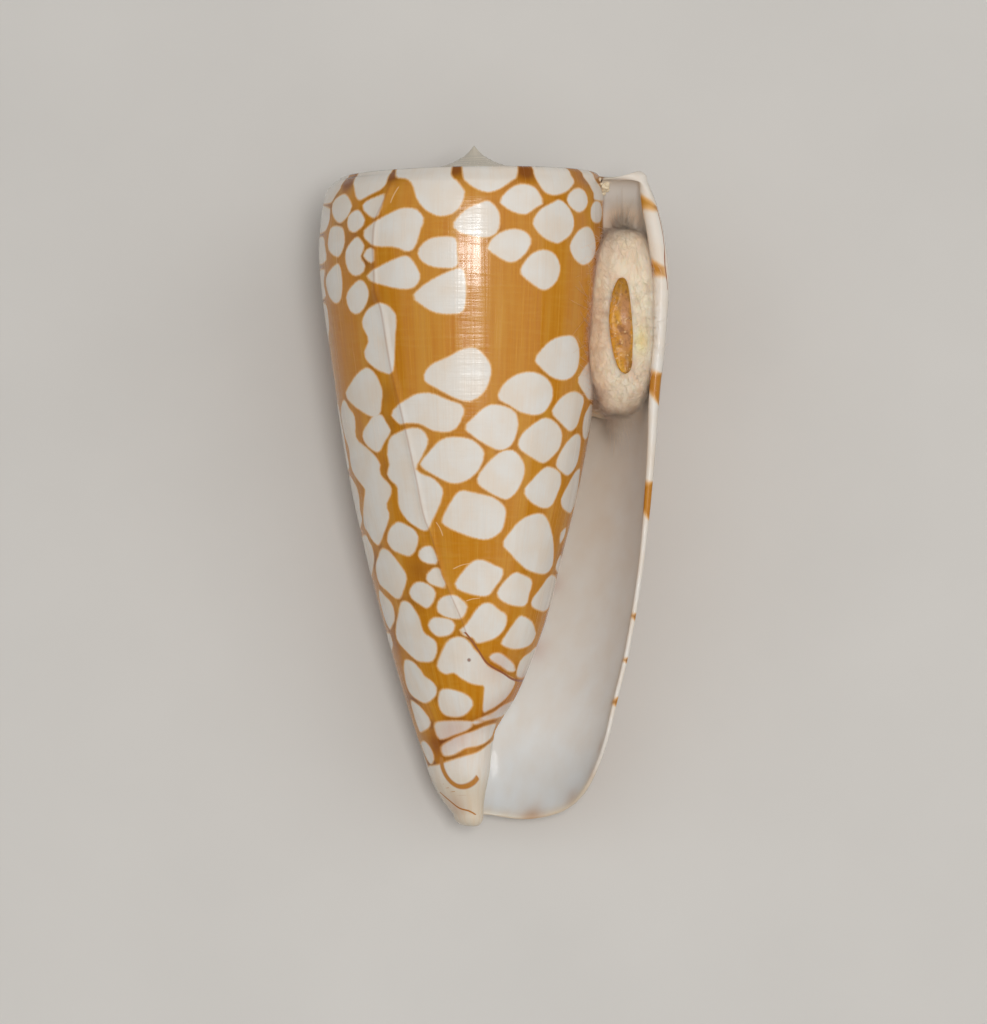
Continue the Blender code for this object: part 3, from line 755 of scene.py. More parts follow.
def seen_strokes(strokes):
    """Strokes with their points on the chart in place of the photo's pixels."""
    return [(seen_on_side(pixels), *widths) for pixels, *widths in strokes]


def stroke_fields(strokes, chart):
    """Two smooth values at chart points: the signed distance to the nearest stroke, in half widths,
    and how far the point is from the stroke's ends and neighbourhood, in mm."""
    side = np.full(len(chart), OFF_LINE)
    extent = np.full(len(chart), -FAR)
    for places, first_width, last_width in strokes:
        middle = (places.min(0) + places.max(0)) / 2
        scale = (float(side_radius(middle[0], middle[1])), 1)
        line = smooth_outline((places - middle) * scale, closed=False)
        local = (chart - middle) * scale
        close = np.flatnonzero((np.abs(local) < np.abs(line).max(0) + FAR).all(1))
        start, edge = line[:-1], np.diff(line, axis=0)
        lengths = np.linalg.norm(edge, axis=1)
        reached = np.concatenate(((0,), np.cumsum(lengths)))
        to_point = local[close][:, None, :] - start
        share = (to_point * edge).sum(-1) / lengths**2
        held = np.clip(share, 0, 1)
        offset = to_point - held[..., None] * edge
        distance = np.hypot(offset[..., 0], offset[..., 1])
        nearest = distance.argmin(1)
        pick = (np.arange(len(close)), nearest)
        cross = edge[nearest, 0] * to_point[pick][:, 1] - edge[nearest, 1] * to_point[pick][:, 0]
        signed = np.where(cross >= 0, distance[pick], -distance[pick])
        along = reached[nearest] + held[pick] * lengths[nearest]
        past = np.where(nearest == 0, np.minimum(share[pick], 0), 0)
        past -= np.where(nearest == len(edge) - 1, np.maximum(share[pick] - 1, 0), 0)
        inner = np.minimum(along, reached[-1] - along) + past * lengths[nearest]
        width = mix(first_width, last_width, along / reached[-1]) * PIXEL
        reach = np.minimum(inner, FAR - distance[pick])
        better = reach > extent[close]
        side[close[better]] = (signed / width)[better]
        extent[close[better]] = reach[better]
    return side, extent


# The shell's mesh

CANAL_COLUMN, HOLLOW_COLUMN = column_at(CANAL_END), column_at(HOLLOW_END)
LAST_COLUMN = COLUMNS * (SPIRE_TURNS + 1)
SIDE_TOP = SHOULDER_CLIMB - SHOULDER_THICKNESS
ROW_SHARES = (np.arange(SIDE_ROWS + 1) / SIDE_ROWS) ** ROW_CROWDING
RIM_SHARES = np.arange(1, RIM_STEPS) / RIM_STEPS


def grid_faces(grid):
    """What a grid holds at the four corners of each of its quads."""
    return np.stack((grid[:-1, :-1], grid[1:, :-1], grid[1:, 1:], grid[:-1, 1:]), axis=-1).reshape(-1, 4)


def ball_faces(first, rings, sides):
    """Faces of a ball whose vertices are numbered from first on: ring by ring, then its two poles."""
    rows = first + np.arange(rings * sides).reshape(rings, sides)
    closed = np.concatenate((rows, rows[:, :1]), axis=1)
    faces = grid_faces(closed).tolist()
    for ring, pole in ((closed[0].tolist(), first + rows.size), (closed[-1].tolist(), first + rows.size + 1)):
        faces += [[start, end, pole] for start, end in zip(ring, ring[1:])]
    return faces


class Surface:
    """Vertices and faces gathered patch by patch, with each vertex's and each corner's chart place.

    A chart place is (turn, climb): climb is the height up the side, then the way in over the shoulder.
    Round the lip's edge and inside it the chart's turn runs on below 0.
    """

    def __init__(self):
        self.places, self.charts, self.insides = np.empty((0, 3)), np.empty((0, 2)), np.empty(0)
        self.faces, self.corner_charts = [], []

    def add(self, places, turns, climbs, inside):
        """Adds a grid of vertices and returns their numbers in the same layout."""
        shape = places.shape[:-1]
        first = len(self.places)
        turns, climbs, inside = (np.broadcast_to(values, shape) for values in (turns, climbs, inside))
        self.places = np.concatenate((self.places, places.reshape(-1, 3)))
        self.charts = np.concatenate((self.charts, np.stack((turns, climbs), axis=-1).reshape(-1, 2)))
        self.insides = np.concatenate((self.insides, inside.reshape(-1)))
        return np.arange(first, len(self.places)).reshape(shape)

    def sheet(self, numbers, turns, climbs):
        """Quads over a grid of vertex numbers."""
        grids = np.broadcast_arrays(numbers, turns, climbs)
        numbers, turns, climbs = (grid_faces(grid) for grid in grids)
        self.faces += numbers.tolist()
        self.corner_charts.append(np.stack((turns, climbs), axis=-1).reshape(-1, 2))

    def face(self, corners, chart_corners=None):
        """One face. Its chart places are its corners' own, or those of the vertices named instead."""
        self.faces.append([int(number) for number in corners])
        self.corner_charts.append(self.charts[list(chart_corners or corners)])


def relief(turn, climb, scar_side, scar_extent):
    """How far growth marks, spiral threads and the old lip's scar stand out of the smooth side."""
    marks = waves(turn, GROWTH_WAVES, GROWTH_SEED) + waves(climb, THREAD_WAVES, THREAD_SEED)
    scar = SCAR_RELIEF * np.exp(-((scar_side / SCAR_WIDTH) ** 2)) * fade(scar_extent, *SCAR_END)
    return marks * fade(climb, *RELIEF_CLIMBS) + scar


def rounded_roof(radius, height, inside_radius, wall_radius, ceiling, rounding):
    """Rounds the corner in which the hollow's outer wall meets its roof."""
    size = np.minimum(rounding, ROUNDING_SHARE * (wall_radius - inside_radius))
    middle = (wall_radius - size, ceiling - size)
    across, up = radius - middle[0], height - middle[1]
    far = np.maximum(np.hypot(across, up), 1e-9)
    cornered = (across > 0) & (up > 0) & (far > size)
    return (np.where(cornered, middle[0] + across / far * size, radius),
            np.where(cornered, middle[1] + up / far * size, height))


def add_side(surface):
    """The outside up to its top rows, running on as the hollow's inner wall."""
    turns = column_turn(np.arange(COLUMNS + HOLLOW_COLUMN + 1))[:, None]
    low = np.where(turns <= TURN, margin_height(turns), floor_height(turns - TURN))
    heights = mix(low, SIDE_TOP, ROW_SHARES)
    chart = np.stack(np.broadcast_arrays(turns, heights), axis=-1).reshape(-1, 2)
    scar = stroke_fields(seen_strokes(((SCAR, 1 / PIXEL, 1 / PIXEL),)), chart)
    raised = relief(turns, heights, *(field.reshape(heights.shape) for field in scar))
    raised *= fade(turns, *RELIEF_TURNS)
    places = on_spiral(turns, side_radius(turns, heights) + raised, heights)
    return surface.add(places, turns, heights, fade(turns, *COVERED_TURNS)), turns, heights


def add_shoulder(surface, side, turns, heights):
    """The crest rows and the sloping top, all the way up the spire, joined to the side."""
    body = slice(COLUMNS + 1)
    crest_heights = SIDE_TOP + SHOULDER_THICKNESS * RIM_SHARES
    crest_radii = side_radius(turns[body], crest_heights)
    crest = surface.add(on_spiral(turns[body], crest_radii, crest_heights), turns[body], crest_heights, 0)
    ramp_turns = column_turn(np.arange(LAST_COLUMN + 1))[:, None]
    radii, tops = ramp_section(ramp_turns, np.array(RAMP_STOPS))
    climbs = SHOULDER_CLIMB + radii[:, :1] - radii
    places = on_spiral(ramp_turns, radii, tops)
    own = surface.add(places[:, :-1], ramp_turns, climbs[:, :-1], 0)
    free = slice(LAST_COLUMN - COLUMNS + 1, None)
    free_edge = surface.add(places[free, -1:], ramp_turns[free], climbs[free, -1:], 0)
    ramp = np.concatenate((own, np.concatenate((own[COLUMNS:, :1], free_edge))), axis=1)

    whole = np.concatenate((side[body], crest, ramp[body]), axis=1)
    crest_climbs = np.broadcast_to(crest_heights, crest_radii.shape)
    surface.sheet(whole, turns[body], np.concatenate((heights[body], crest_climbs, climbs[body]), axis=1))
    surface.sheet(side[COLUMNS:], turns[COLUMNS:], heights[COLUMNS:])
    surface.sheet(ramp[COLUMNS:], ramp_turns[COLUMNS:], climbs[COLUMNS:])
    return whole, ramp


def add_hollow(surface, side, turns, row_count):
    """The outer wall's inner face, up the side and in under the shoulder, with the outside's row count."""
    turns = turns[: HOLLOW_COLUMN + 1]
    before_canal_end = np.arange(HOLLOW_COLUMN + 1)[:, None] <= CANAL_COLUMN
    low = np.where(before_canal_end, margin_height(turns), floor_height(turns))
    fall = fade(turns, 0, CEILING_FALL_SPAN)
    roof = mix(MOUTH_CEILING, DEEP_CEILING, fall)
    wall = hollow_radius(turns, roof)
    inside = side_radius(turns + TURN, roof) + ROOF_CLEARANCE
    roof_rows = row_count - SIDE_ROWS - 2
    roof_shares = np.arange(1, roof_rows + 1) / roof_rows
    heights = mix(low, roof, ROW_SHARES)
    radii = np.concatenate((hollow_radius(turns, heights), mix(wall, inside, roof_shares)), axis=1)
    heights = np.concatenate((heights, np.repeat(roof, roof_rows, axis=1)), axis=1)
    radii, heights = rounded_roof(radii, heights, inside, wall, roof, mix(*ROOF_ROUNDING, fall))
    chart_turns = -wall_thickness(0, heights) / radii - turns
    behind_rim = np.minimum(turns * radii, heights - low + MARGIN_SHADE_START)
    plain = fade(behind_rim, *PORCELAIN_SPAN)
    own = surface.add(on_spiral(turns, radii, heights), chart_turns, heights, plain)
    inner = np.concatenate((own, side[COLUMNS:, SIDE_ROWS:]), axis=1)
    inner[CANAL_COLUMN:, 0] = side[COLUMNS + CANAL_COLUMN:, 0]
    chart_turns, climbs = (np.pad(values, ((0, 0), (0, 1)), "edge") for values in (chart_turns, heights))
    surface.sheet(inner[:, ::-1], chart_turns[:, ::-1], climbs[:, ::-1])
    return inner


def add_free_edge(surface, whole, inner):
    """The rounded free edge: along the shoulder, down the lip and round the front to the canal's end."""
    top = whole.shape[1] - 2
    outside, within = (np.concatenate((grid[0, top:0:-1], grid[: CANAL_COLUMN + 1, 0]))
                       for grid in (whole, inner))
    behind = np.concatenate((whole[1, top:0:-1], whole[1:2, 0], whole[1: CANAL_COLUMN + 1, 1]))
    out, far_side = surface.places[outside], surface.places[within]
    across = far_side - out
    forward = np.cross(np.gradient(out, axis=0), across)
    forward *= np.sign((forward * (out - surface.places[behind])).sum(-1, keepdims=True))
    forward /= np.linalg.norm(forward, axis=-1, keepdims=True)
    thickness = np.linalg.norm(across, axis=-1, keepdims=True)
    bulge = forward * np.minimum(thickness, SHOULDER_THICKNESS) / 2
    swings = (RIM_SHARES * math.pi)[:, None]
    middle = ((out + far_side) / 2)[:, None]
    round_edge = middle - (across / 2)[:, None] * np.cos(swings) + bulge[:, None] * np.sin(swings)

    turns, climbs = surface.charts[outside, :1], surface.charts[outside, 1:]
    turn_span = thickness / np.hypot(out[:, 0], out[:, 1])[:, None]
    edge_turns = turns - turn_span * RIM_SHARES
    edge_climbs = np.repeat(climbs, RIM_STEPS - 1, axis=1)
    rims = surface.add(round_edge, edge_turns, edge_climbs, 0)
    crest_end = whole[COLUMNS:, SIDE_ROWS: SIDE_ROWS + RIM_STEPS + 1][:1, ::-1]
    rings = np.concatenate((crest_end, np.concatenate((outside[:, None], rims, within[:, None]), axis=1)))
    ring_turns = np.concatenate((turns, edge_turns, turns - turn_span), axis=1)
    ring_climbs = np.concatenate((climbs, edge_climbs, surface.charts[within, 1:]), axis=1)
    surface.sheet(rings, *(np.pad(values, ((1, 0), (0, 0)), "edge") for values in (ring_turns, ring_climbs)))
    return rims


def dome_ring(share):
    """(size, level) of a ring of the blunt front tip, a share of the way to its middle."""
    swing = share * math.pi / 2
    return math.cos(swing), 1 - (1 - math.sin(swing)) ** TIP_BLUNTNESS


def peak_ring(share):
    """(size, level) of a ring of the apex, whose profile is hollow."""
    return 1 - share, share**PEAK_SHARPNESS


def cap(surface, loop, top, ring_shape, chart_step):
    """Closes a loop with rings that narrow to one point."""
    places, charts = surface.places[loop], surface.charts[loop]
    top = np.array(top, float)
    rings = [loop]
    for k in range(1, CAP_RINGS):
        size, level = ring_shape(k / CAP_RINGS)
        charts = charts - (0, chart_step)
        rings.append(surface.add(mix(places, top, np.array((1 - size, 1 - size, level))), *charts.T, 0))
    point = surface.add(top[None], *charts[:1].T, 0)[0]
    closed = np.array([np.append(ring, ring[0]) for ring in rings])
    surface.sheet(closed, *np.append(charts, charts[:1], axis=0).T[:, None])
    for first, second in zip(rings[-1], np.roll(rings[-1], -1)):
        surface.face((first, second, point), (first, second, first))


def close_ends(surface, side, ramp, inner, rims):
    """The deep end of the hollow, the rounded front tip and the apex."""
    near, far = side[COLUMNS + HOLLOW_COLUMN], inner[HOLLOW_COLUMN]
    surface.face((near[0], near[1], far[1]))
    for k in range(1, SIDE_ROWS - 1):
        surface.face((near[k], near[k + 1], far[k + 1], far[k]))
    surface.face((far[SIDE_ROWS - 1], *far[SIDE_ROWS:], near[SIDE_ROWS - 1]))
    tip_loop = np.concatenate((side[CANAL_COLUMN: COLUMNS + CANAL_COLUMN + 1, 0], rims[-1, ::-1]))
    cap(surface, tip_loop, (0, 0, 0), dome_ring, CAP_CHART_STEP)
    apex_loop = np.concatenate((ramp[LAST_COLUMN], ramp[LAST_COLUMN - COLUMNS + 1: LAST_COLUMN, -1][::-1]))
    cap(surface, apex_loop, (0, 0, LENGTH), peak_ring, 0)


def shell_surface():
    """The shell's one closed surface: a rolled sheet whose turns share their sutures."""
    surface = Surface()
    side, turns, heights = add_side(surface)
    whole, ramp = add_shoulder(surface, side, turns, heights)
    inner = add_hollow(surface, side, turns, whole.shape[1])
    rims = add_free_edge(surface, whole, inner)
    close_ends(surface, side, ramp, inner, rims)
    return surface


# The shell's place in the row frame: on its back, in the middle of the solid's box and as high

REST = Matrix.Rotation(REST_TILT - 90 * DEG, 4, "X").to_3x3()
SHELL = shell_surface()
SHELL_TREE = BVHTree.FromPolygons(SHELL.places.tolist(), SHELL.faces)


def laid_down(places):
    """Points of the shell's own frame, in mm, in metres along the row frame's axes."""
    return places @ np.array(REST).T * MM


def row_offset():
    low, high = (np.array(corner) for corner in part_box("shell"))
    places = laid_down(SHELL.places)
    offset = (low + high) / 2 - (places.min(0) + places.max(0)) / 2
    offset[2] = high[2] - places[:, 2].max()
    return offset


OFFSET = row_offset()


def in_frame(places):
    """Points of the shell's own frame, in mm, as metres in the row frame."""
    return laid_down(places) + OFFSET


def surface_point(pixel):
    """Where the sight line through a pixel first meets the shell."""
    line = sight_lines((pixel,))[0]
    hit = SHELL_TREE.ray_cast(Vector(EYE), Vector(line).normalized())[0]
    return None if hit is None else np.array(hit)


def spots(marks):
    """Soft spots on the shell's surface round the places where the photo shows them."""
    total = np.zeros(len(SHELL.places))
    for pixel, radius, strength in marks:
        hit = surface_point(pixel)
        if hit is not None:
            total += strength * np.exp(-((SHELL.places - hit) ** 2).sum(1) / radius**2)
    return np.clip(total, 0, 1)


# Making and dressing pieces


def new_mesh(name, places, faces):
    """An object whose vertices are given in mm in the shell's own frame."""
    data = bpy.data.meshes.new(name)
    data.from_pydata(in_frame(places).tolist(), [], faces)
    data.shade_smooth()
    data.update()
    return linked(name, data)


def linked(name, data):
    """A new object of the scene."""
    made = bpy.data.objects.new(name, data)
    bpy.context.scene.collection.objects.link(made)
    return made


def add_values(piece, name, values, domain="POINT", kind="FLOAT"):
    """Gives a piece values for its material to read, one for each vertex or corner."""
    attribute = piece.data.attributes.new(name, kind, domain)
    field = {"FLOAT": "value", "FLOAT_VECTOR": "vector", "FLOAT_COLOR": "color"}[kind]
    attribute.data.foreach_set(field, np.ascontiguousarray(values, np.float32).ravel())


def face_outwards(data):
    """Turns the faces of a closed mesh outwards, with what their corners hold."""
    mesh = bmesh.new()
    mesh.from_mesh(data)
    bmesh.ops.recalc_face_normals(mesh, faces=mesh.faces)
    mesh.to_mesh(data)
    mesh.free()


def dress(piece, material, places, node=None):
    """Gives a piece its material and its place in the frame."""
    add_values(piece, "place", places, kind="FLOAT_VECTOR")
    face_outwards(piece.data)
    piece.data.materials.append(material)
    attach(piece, "root")
    if node:
        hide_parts(node)


class Nodes:
    """Short calls for building a material's node tree."""

    def __init__(self, name):
        self.material = bpy.data.materials.new(name)
        self.material.use_nodes = True
        self.tree = self.material.node_tree
        self.shader = self.tree.nodes["Principled BSDF"]

    def node(self, kind, inputs, **settings):
        node = self.tree.nodes.new(kind)
        for key, value in settings.items():
            setattr(node, key, value)
        for key, value in inputs.items():
            self.feed(node.inputs[key], value)
        return node.outputs

    def feed(self, socket, value):
        if isinstance(value, bpy.types.NodeSocket):
            self.tree.links.new(value, socket)
        else:
            socket.default_value = value

    def attribute(self, name, output="Fac"):
        return self.node("ShaderNodeAttribute", {}, attribute_name=name)[output]

    def math(self, operation, first, second=0.0):
        return self.node("ShaderNodeMath", {0: first, 1: second}, operation=operation)[0]

    def times(self, first, second):
        return self.math("MULTIPLY", first, second)

    def plus(self, first, second):
        return self.math("ADD", first, second)

    def minus(self, first, second):
        return self.math("SUBTRACT", first, second)

    def size(self, value):
        return self.math("ABSOLUTE", value)

    def vector(self, x, y, z=0.0):
        return self.node("ShaderNodeCombineXYZ", {0: x, 1: y, 2: z})[0]

    def apart(self, vector):
        return self.node("ShaderNodeSeparateXYZ", {0: vector})

    def noise(self, vector, scale=1.0, detail=2.0, roughness=0.5):
        inputs = {"Vector": vector, "Scale": scale, "Detail": detail, "Roughness": roughness}
        return self.node("ShaderNodeTexNoise", inputs)["Fac"]

    def spread(self, value, low, high, first=0.0, last=1.0, smooth=False):
        """A value between low and high as one between first and last, held at both ends."""
        inputs = {"Value": value, "From Min": low, "From Max": high, "To Min": first, "To Max": last}
        kind = "SMOOTHSTEP" if smooth else "LINEAR"
        return self.node("ShaderNodeMapRange", inputs, interpolation_type=kind)["Result"]

    def mix(self, share, first, last, blend="MIX"):
        inputs = {0: share, 6: first, 7: last}
        return self.node("ShaderNodeMix", inputs, data_type="RGBA", blend_type=blend)[2]

    def bump(self, height, distance):
        inputs = {"Height": height, "Distance": distance, "Strength": 1.0}
        return self.node("ShaderNodeBump", inputs)["Normal"]

    def finish(self, **inputs):
        for key, value in inputs.items():
            self.feed(self.shader.inputs[key.replace("_", " ")], value)
        return self.material


def colour(red, green, blue):
    return (*linear(red, green, blue), 1)


# The shell's colours, as display values under the scene's light

WHITE, WHITE_WARM = colour(232, 226, 217), colour(231, 218, 202)
PEACH = colour(235, 186, 120)
AMBER, AMBER_PALE, AMBER_DEEP = colour(204, 134, 14), colour(210, 152, 52), colour(195, 121, 8)
BROWN, STROKE_BROWN, HOOK_BROWN = colour(126, 66, 24), colour(156, 94, 58), colour(196, 134, 62)
SCRATCH_PALE = colour(238, 200, 150)
PORCELAIN, PORCELAIN_WARM = colour(238, 237, 234), colour(235, 229, 221)
SPIRE_CREAM = colour(214, 204, 186)
COTTON_PINK = colour(248, 224, 198)
TINT_PLUM, TINT_CREAM, TINT_BLOT = (0.80, 0.60, 0.55), (0.88, 0.82, 0.72), (0.74, 0.52, 0.38)
# The base and ceiling tints are painted shade inside the hollow: greyer low down and darker on the ceiling
TINT_BASE_SHADE, TINT_CEILING_SHADE, TINT_DEEP = (0.80, 0.82, 0.84), (0.66, 0.60, 0.52), (0.97, 0.87, 0.77)

# Its material. A noise has its pace along the chart's turn and climb, and a shift, then its scale and
# detail. A white cell's depth is in mm from its outline. A line's edge is in half widths from its middle,
# and its end in mm. Four values say what lies between two places and which strengths it has there
FINE, BROAD, THREAD = (60.0, 0.16, 0.0, 1.0, 3.0), (9.0, 0.1, 4.0, 1.0, 2.0), (4.0, 3.4, 8.0, 1.0, 2.0)
CLOUD, WOBBLE = (10.0, 1.0, 2.0, 0.45, 3.0), (30.0, 1.0, 0.0, 2.2, 2.0)
WOBBLE_SIZE, FINE_RELIEF = 0.10, 0.5
FINE_AMBER, BROAD_AMBER, THREAD_AMBER = (0.32, 0.68), (0.45, 0.75, 0.0, 0.7), (0.5, 0.8, 0.0, 0.35)
EVENLY, FINE_WHITE, CLOUD_PORCELAIN = (0.35, 0.65), (0.5, 0.8, 0.0, 0.12), (0.3, 0.7)
LIP_BLUR = (-0.03, 0.0, 0.12, 0.0)
HALO_WIDTH, HALO_BLUR, HALO_STRENGTH = 0.13, 2.5, 0.75
EDGE_LOW, EDGE_HIGH = -0.05, 0.10
STROKE_FORM = ((0.55, 1.35, 1.0, 0.0), (-0.06, 0.06))
SCRATCH_FORM = ((0.4, 1.3, 0.7, 0.0), (-0.05, 0.1))
SCAR_FORM = ((0.2, 1.5, 0.32, 0.0), (-0.05, 0.3))
HOOK_CLIMBS = (5.0, 8.0)
DOT_FORM = (0.5 * DOT_RADIUS, 1.4 * DOT_RADIUS, 0.75, 0.0)
SHELL_ROUGHNESS = 0.31
FINE_POLISH, DULL_RIM, DULL_BASE = (0.3, 0.7, -0.14, -0.02), (0.0, 0.03, 0.35, 0.0), (5.0, 12.0, 0.25, 0.0)
SHELL_BUMP = 0.017 * MM


def ground_colour(n, fine, broad, thread):
    """The amber ground: streaked along the growth lines and threads, and brown beside the cells."""
    amber = n.mix(n.spread(fine, *FINE_AMBER), AMBER_DEEP, AMBER)
    amber = n.mix(n.spread(broad, *BROAD_AMBER), amber, AMBER_PALE)
    amber = n.mix(n.spread(thread, *THREAD_AMBER), amber, AMBER_PALE)
    return n.mix(n.attribute("brown"), amber, BROWN)


def line_colour(n, name, form, base, paint):
    """A drawn line over a colour, with soft sides and ends."""
    beside, end = form
    side = n.spread(n.size(n.attribute(f"{name}_side")), *beside, True)
    shown = n.times(side, n.spread(n.attribute(f"{name}_extent"), *end, smooth=True))
    return n.mix(shown, base, paint)


def dot_colour(n, turn, climb, base):
    """The small brown dot low on the front."""
    dot_turn, dot_climb = (float(value) for value in seen_on_side((DOT,))[0])
    across = n.times(n.minus(turn, dot_turn), float(side_radius(dot_turn, dot_climb)))
    offset = {0: n.vector(across, n.minus(climb, dot_climb))}
    away = n.node("ShaderNodeVectorMath", offset, operation="LENGTH")["Value"]
    return n.mix(n.spread(away, *DOT_FORM, True), base, BROWN)


def shell_material(layer_count):
    n = Nodes("shell")
    turn, climb = n.apart(n.attribute("chart", "Vector"))[:2]
    inside = n.attribute("inside")
    outside = n.minus(1.0, inside)

    def grain(across, along, shift, scale, detail):
        return n.noise(n.vector(n.times(turn, across), n.times(climb, along), shift), scale, detail)

    fine, broad, thread, cloud, wobble = (grain(*form) for form in (FINE, BROAD, THREAD, CLOUD, WOBBLE))
    depth = n.attribute("white_0")
    for k in range(1, layer_count):
        depth = n.math("MAXIMUM", depth, n.attribute(f"white_{k}"))
    depth = n.plus(depth, n.times(n.minus(wobble, 0.5), WOBBLE_SIZE))

    ground = ground_colour(n, fine, broad, thread)
    white = n.mix(n.spread(cloud, *EVENLY), WHITE, WHITE_WARM)
    white = n.mix(n.spread(fine, *FINE_WHITE), white, AMBER_PALE)
    blur = n.spread(turn, *LIP_BLUR)
    halo = n.spread(depth, n.minus(-HALO_WIDTH, n.times(blur, HALO_BLUR)), 0.0, 0.0, HALO_STRENGTH, True)
    edge = n.mix(halo, ground, PEACH)
    within = n.spread(depth, n.minus(EDGE_LOW, blur), n.plus(EDGE_HIGH, blur), smooth=True)
    pattern = n.mix(within, edge, white)
    stroke_paint = n.mix(n.spread(climb, *HOOK_CLIMBS), HOOK_BROWN, STROKE_BROWN)
    pattern = line_colour(n, "stroke", STROKE_FORM, pattern, stroke_paint)
    pattern = line_colour(n, "scratch", SCRATCH_FORM, pattern, SCRATCH_PALE)
    pattern = line_colour(n, "scar", SCAR_FORM, pattern, STROKE_BROWN)
    pattern = dot_colour(n, turn, climb, pattern)
    spire = n.mix(n.attribute("spire_brown"), SPIRE_CREAM, STROKE_BROWN)
    pattern = n.mix(n.attribute("spire"), pattern, spire)
    porcelain = n.mix(n.spread(cloud, *CLOUD_PORCELAIN), PORCELAIN, PORCELAIN_WARM)
    base = n.mix(inside, pattern, porcelain)
    base = n.mix(1.0, base, n.attribute("tint", "Color"), blend="MULTIPLY")
    base = n.mix(n.attribute("fluff"), base, COTTON_PINK)

    normal = n.bump(n.times(outside, n.plus(n.times(fine, FINE_RELIEF), thread)), SHELL_BUMP)
    outer = n.times(outside, n.plus(n.spread(fine, *FINE_POLISH), n.spread(turn, *DULL_RIM)))
    rough = n.plus(outer, n.plus(n.times(inside, n.spread(climb, *DULL_BASE)), SHELL_ROUGHNESS))
    return n.finish(Base_Color=base, Roughness=rough, Normal=normal, IOR=1.46, Coat_Weight=0.12,
                    Coat_Roughness=0.1)


# Where the painting of the shell starts and is full: turns, climbs in mm, or shares of a turn's width

FIRST_EDGE_CLIMB, FIRST_EDGE_SWING, FIRST_EDGE_WAVES = 1.3, 0.45, ((1.9, 1.0), (4.3, 0.5))
THIN_BOTH, THIN_NEAREST = (-0.62, -0.22), (0.3, 0.0)
OLD_SHELL_TURNS, LOW_CLIMBS, SHOULDER_CLIMBS = (235 * DEG, 195 * DEG), (14.0, 6.0), (44.3, 45.5)
THIN_BROWN, OLD_BROWN, LOW_BROWN, OLD_GROUND, SHOULDER_BROWN, MOST_BROWN = 0.3, 0.45, 0.3, 0.13, 0.35, 0.85
RAMP_CLIMBS = (SHOULDER_CLIMB + 0.9, SHOULDER_CLIMB + 1.6)
SPIRE_CLIMB, SPIRE_TURN, LEAST_RAMP, RAMP_END = SHOULDER_CLIMB - 0.2, -0.5, 0.05, 1.2
SPIRE_FADE, SPIRE_STRENGTH = (5.2, 3.7), 0.8
BLOTCH_WAVES, BLOTCH_EDGE_WAVES, BLOTCH_SLANT = ((2.6, 1.0), (6.1, 0.55)), ((4.0, 0.3),), 0.5
BLOTCH_EDGE, BLOTCH_END = (0.15, 0.85), (1.15, 0.85)
# Painted shade low in the hollow is full up to 2 mm and gone by 8 mm
CREAM_CLIMBS, BASE_SHADE_CLIMBS = (4.6, 2.1), (8.0, 2.0)
DEEP_LOW_CLIMBS, DEEP_HIGH_CLIMBS, DEEP_TURNS = (2.0, 32.0), (43.0, 39.0), (0.15, 0.75)


def paint_pattern(piece, turn, climb, layers):
    """The white cells' depths, with the front tip's white in the first layer, and the brown."""
    depths = layer_depths(layers, SHELL.charts)
    edge = FIRST_EDGE_CLIMB + FIRST_EDGE_SWING * waves(turn, FIRST_EDGE_WAVES, FIRST_EDGE_SEED)
    corner = np.where(turn < CANAL_END, LIP_CORNER * np.exp(-np.maximum(turn, 0) / LIP_CORNER_SPAN), 0)
    depths[0] = np.maximum(depths[0], np.clip(edge - climb + corner, -FAR, FAR))
    for k, depth in enumerate(depths):
        add_values(piece, f"white_{k}", depth)
    second, first = np.sort(depths, axis=0)[-2:]
    thin = fade(first + second, *THIN_BOTH) * fade(first, *THIN_NEAREST)
    old_shell = fade(turn, *OLD_SHELL_TURNS)
    region = THIN_BROWN + OLD_BROWN * old_shell + LOW_BROWN * fade(climb, *LOW_CLIMBS)
    ground = spots(RUST_SPOTS) + SHOULDER_BROWN * fade(climb, *SHOULDER_CLIMBS) + OLD_GROUND * old_shell
    add_values(piece, "brown", np.clip(thin * region + ground, 0, MOST_BROWN))


def paint_spire(piece, turn, climb):
    """Where the spire's cream top shows, and the brown radial blotches on its sloping turns."""
    past_body = (turn > TURN) & (climb > SPIRE_CLIMB)
    add_values(piece, "spire", np.where(past_body, 1, fade(climb, *RAMP_CLIMBS)) * (turn > SPIRE_TURN))
    whole_turn = np.maximum(turn, 0)
    width = shoulder_radius(whole_turn) - shoulder_radius(whole_turn + TURN)
    share = np.clip((climb - SHOULDER_CLIMB) / np.maximum(width, LEAST_RAMP), 0, RAMP_END)
    blotch = waves(turn, BLOTCH_WAVES, BLOTCH_SEED)
    blotch += waves(turn + BLOTCH_SLANT * share, BLOTCH_EDGE_WAVES, BLOTCH_EDGE_SEED)
    brown = fade(blotch, *BLOTCH_EDGE) * fade(share, *BLOTCH_END)
    add_values(piece, "spire_brown", brown * fade(turn / TURN, *SPIRE_FADE) * SPIRE_STRENGTH)


def paint_lines(piece):
    """How far each vertex is beside and past the drawn lines."""
    strokes = seen_strokes(STROKES) + [(lip_line(), *LIP_LINE_WIDTHS)]
    scar = seen_strokes(((SCAR, *SCAR_LINE_WIDTHS),))
    for name, lines in (("stroke", strokes), ("scratch", seen_strokes(SCRATCHES)), ("scar", scar)):
        side, extent = stroke_fields(lines, SHELL.charts)
        add_values(piece, f"{name}_side", side)
        add_values(piece, f"{name}_extent", extent)


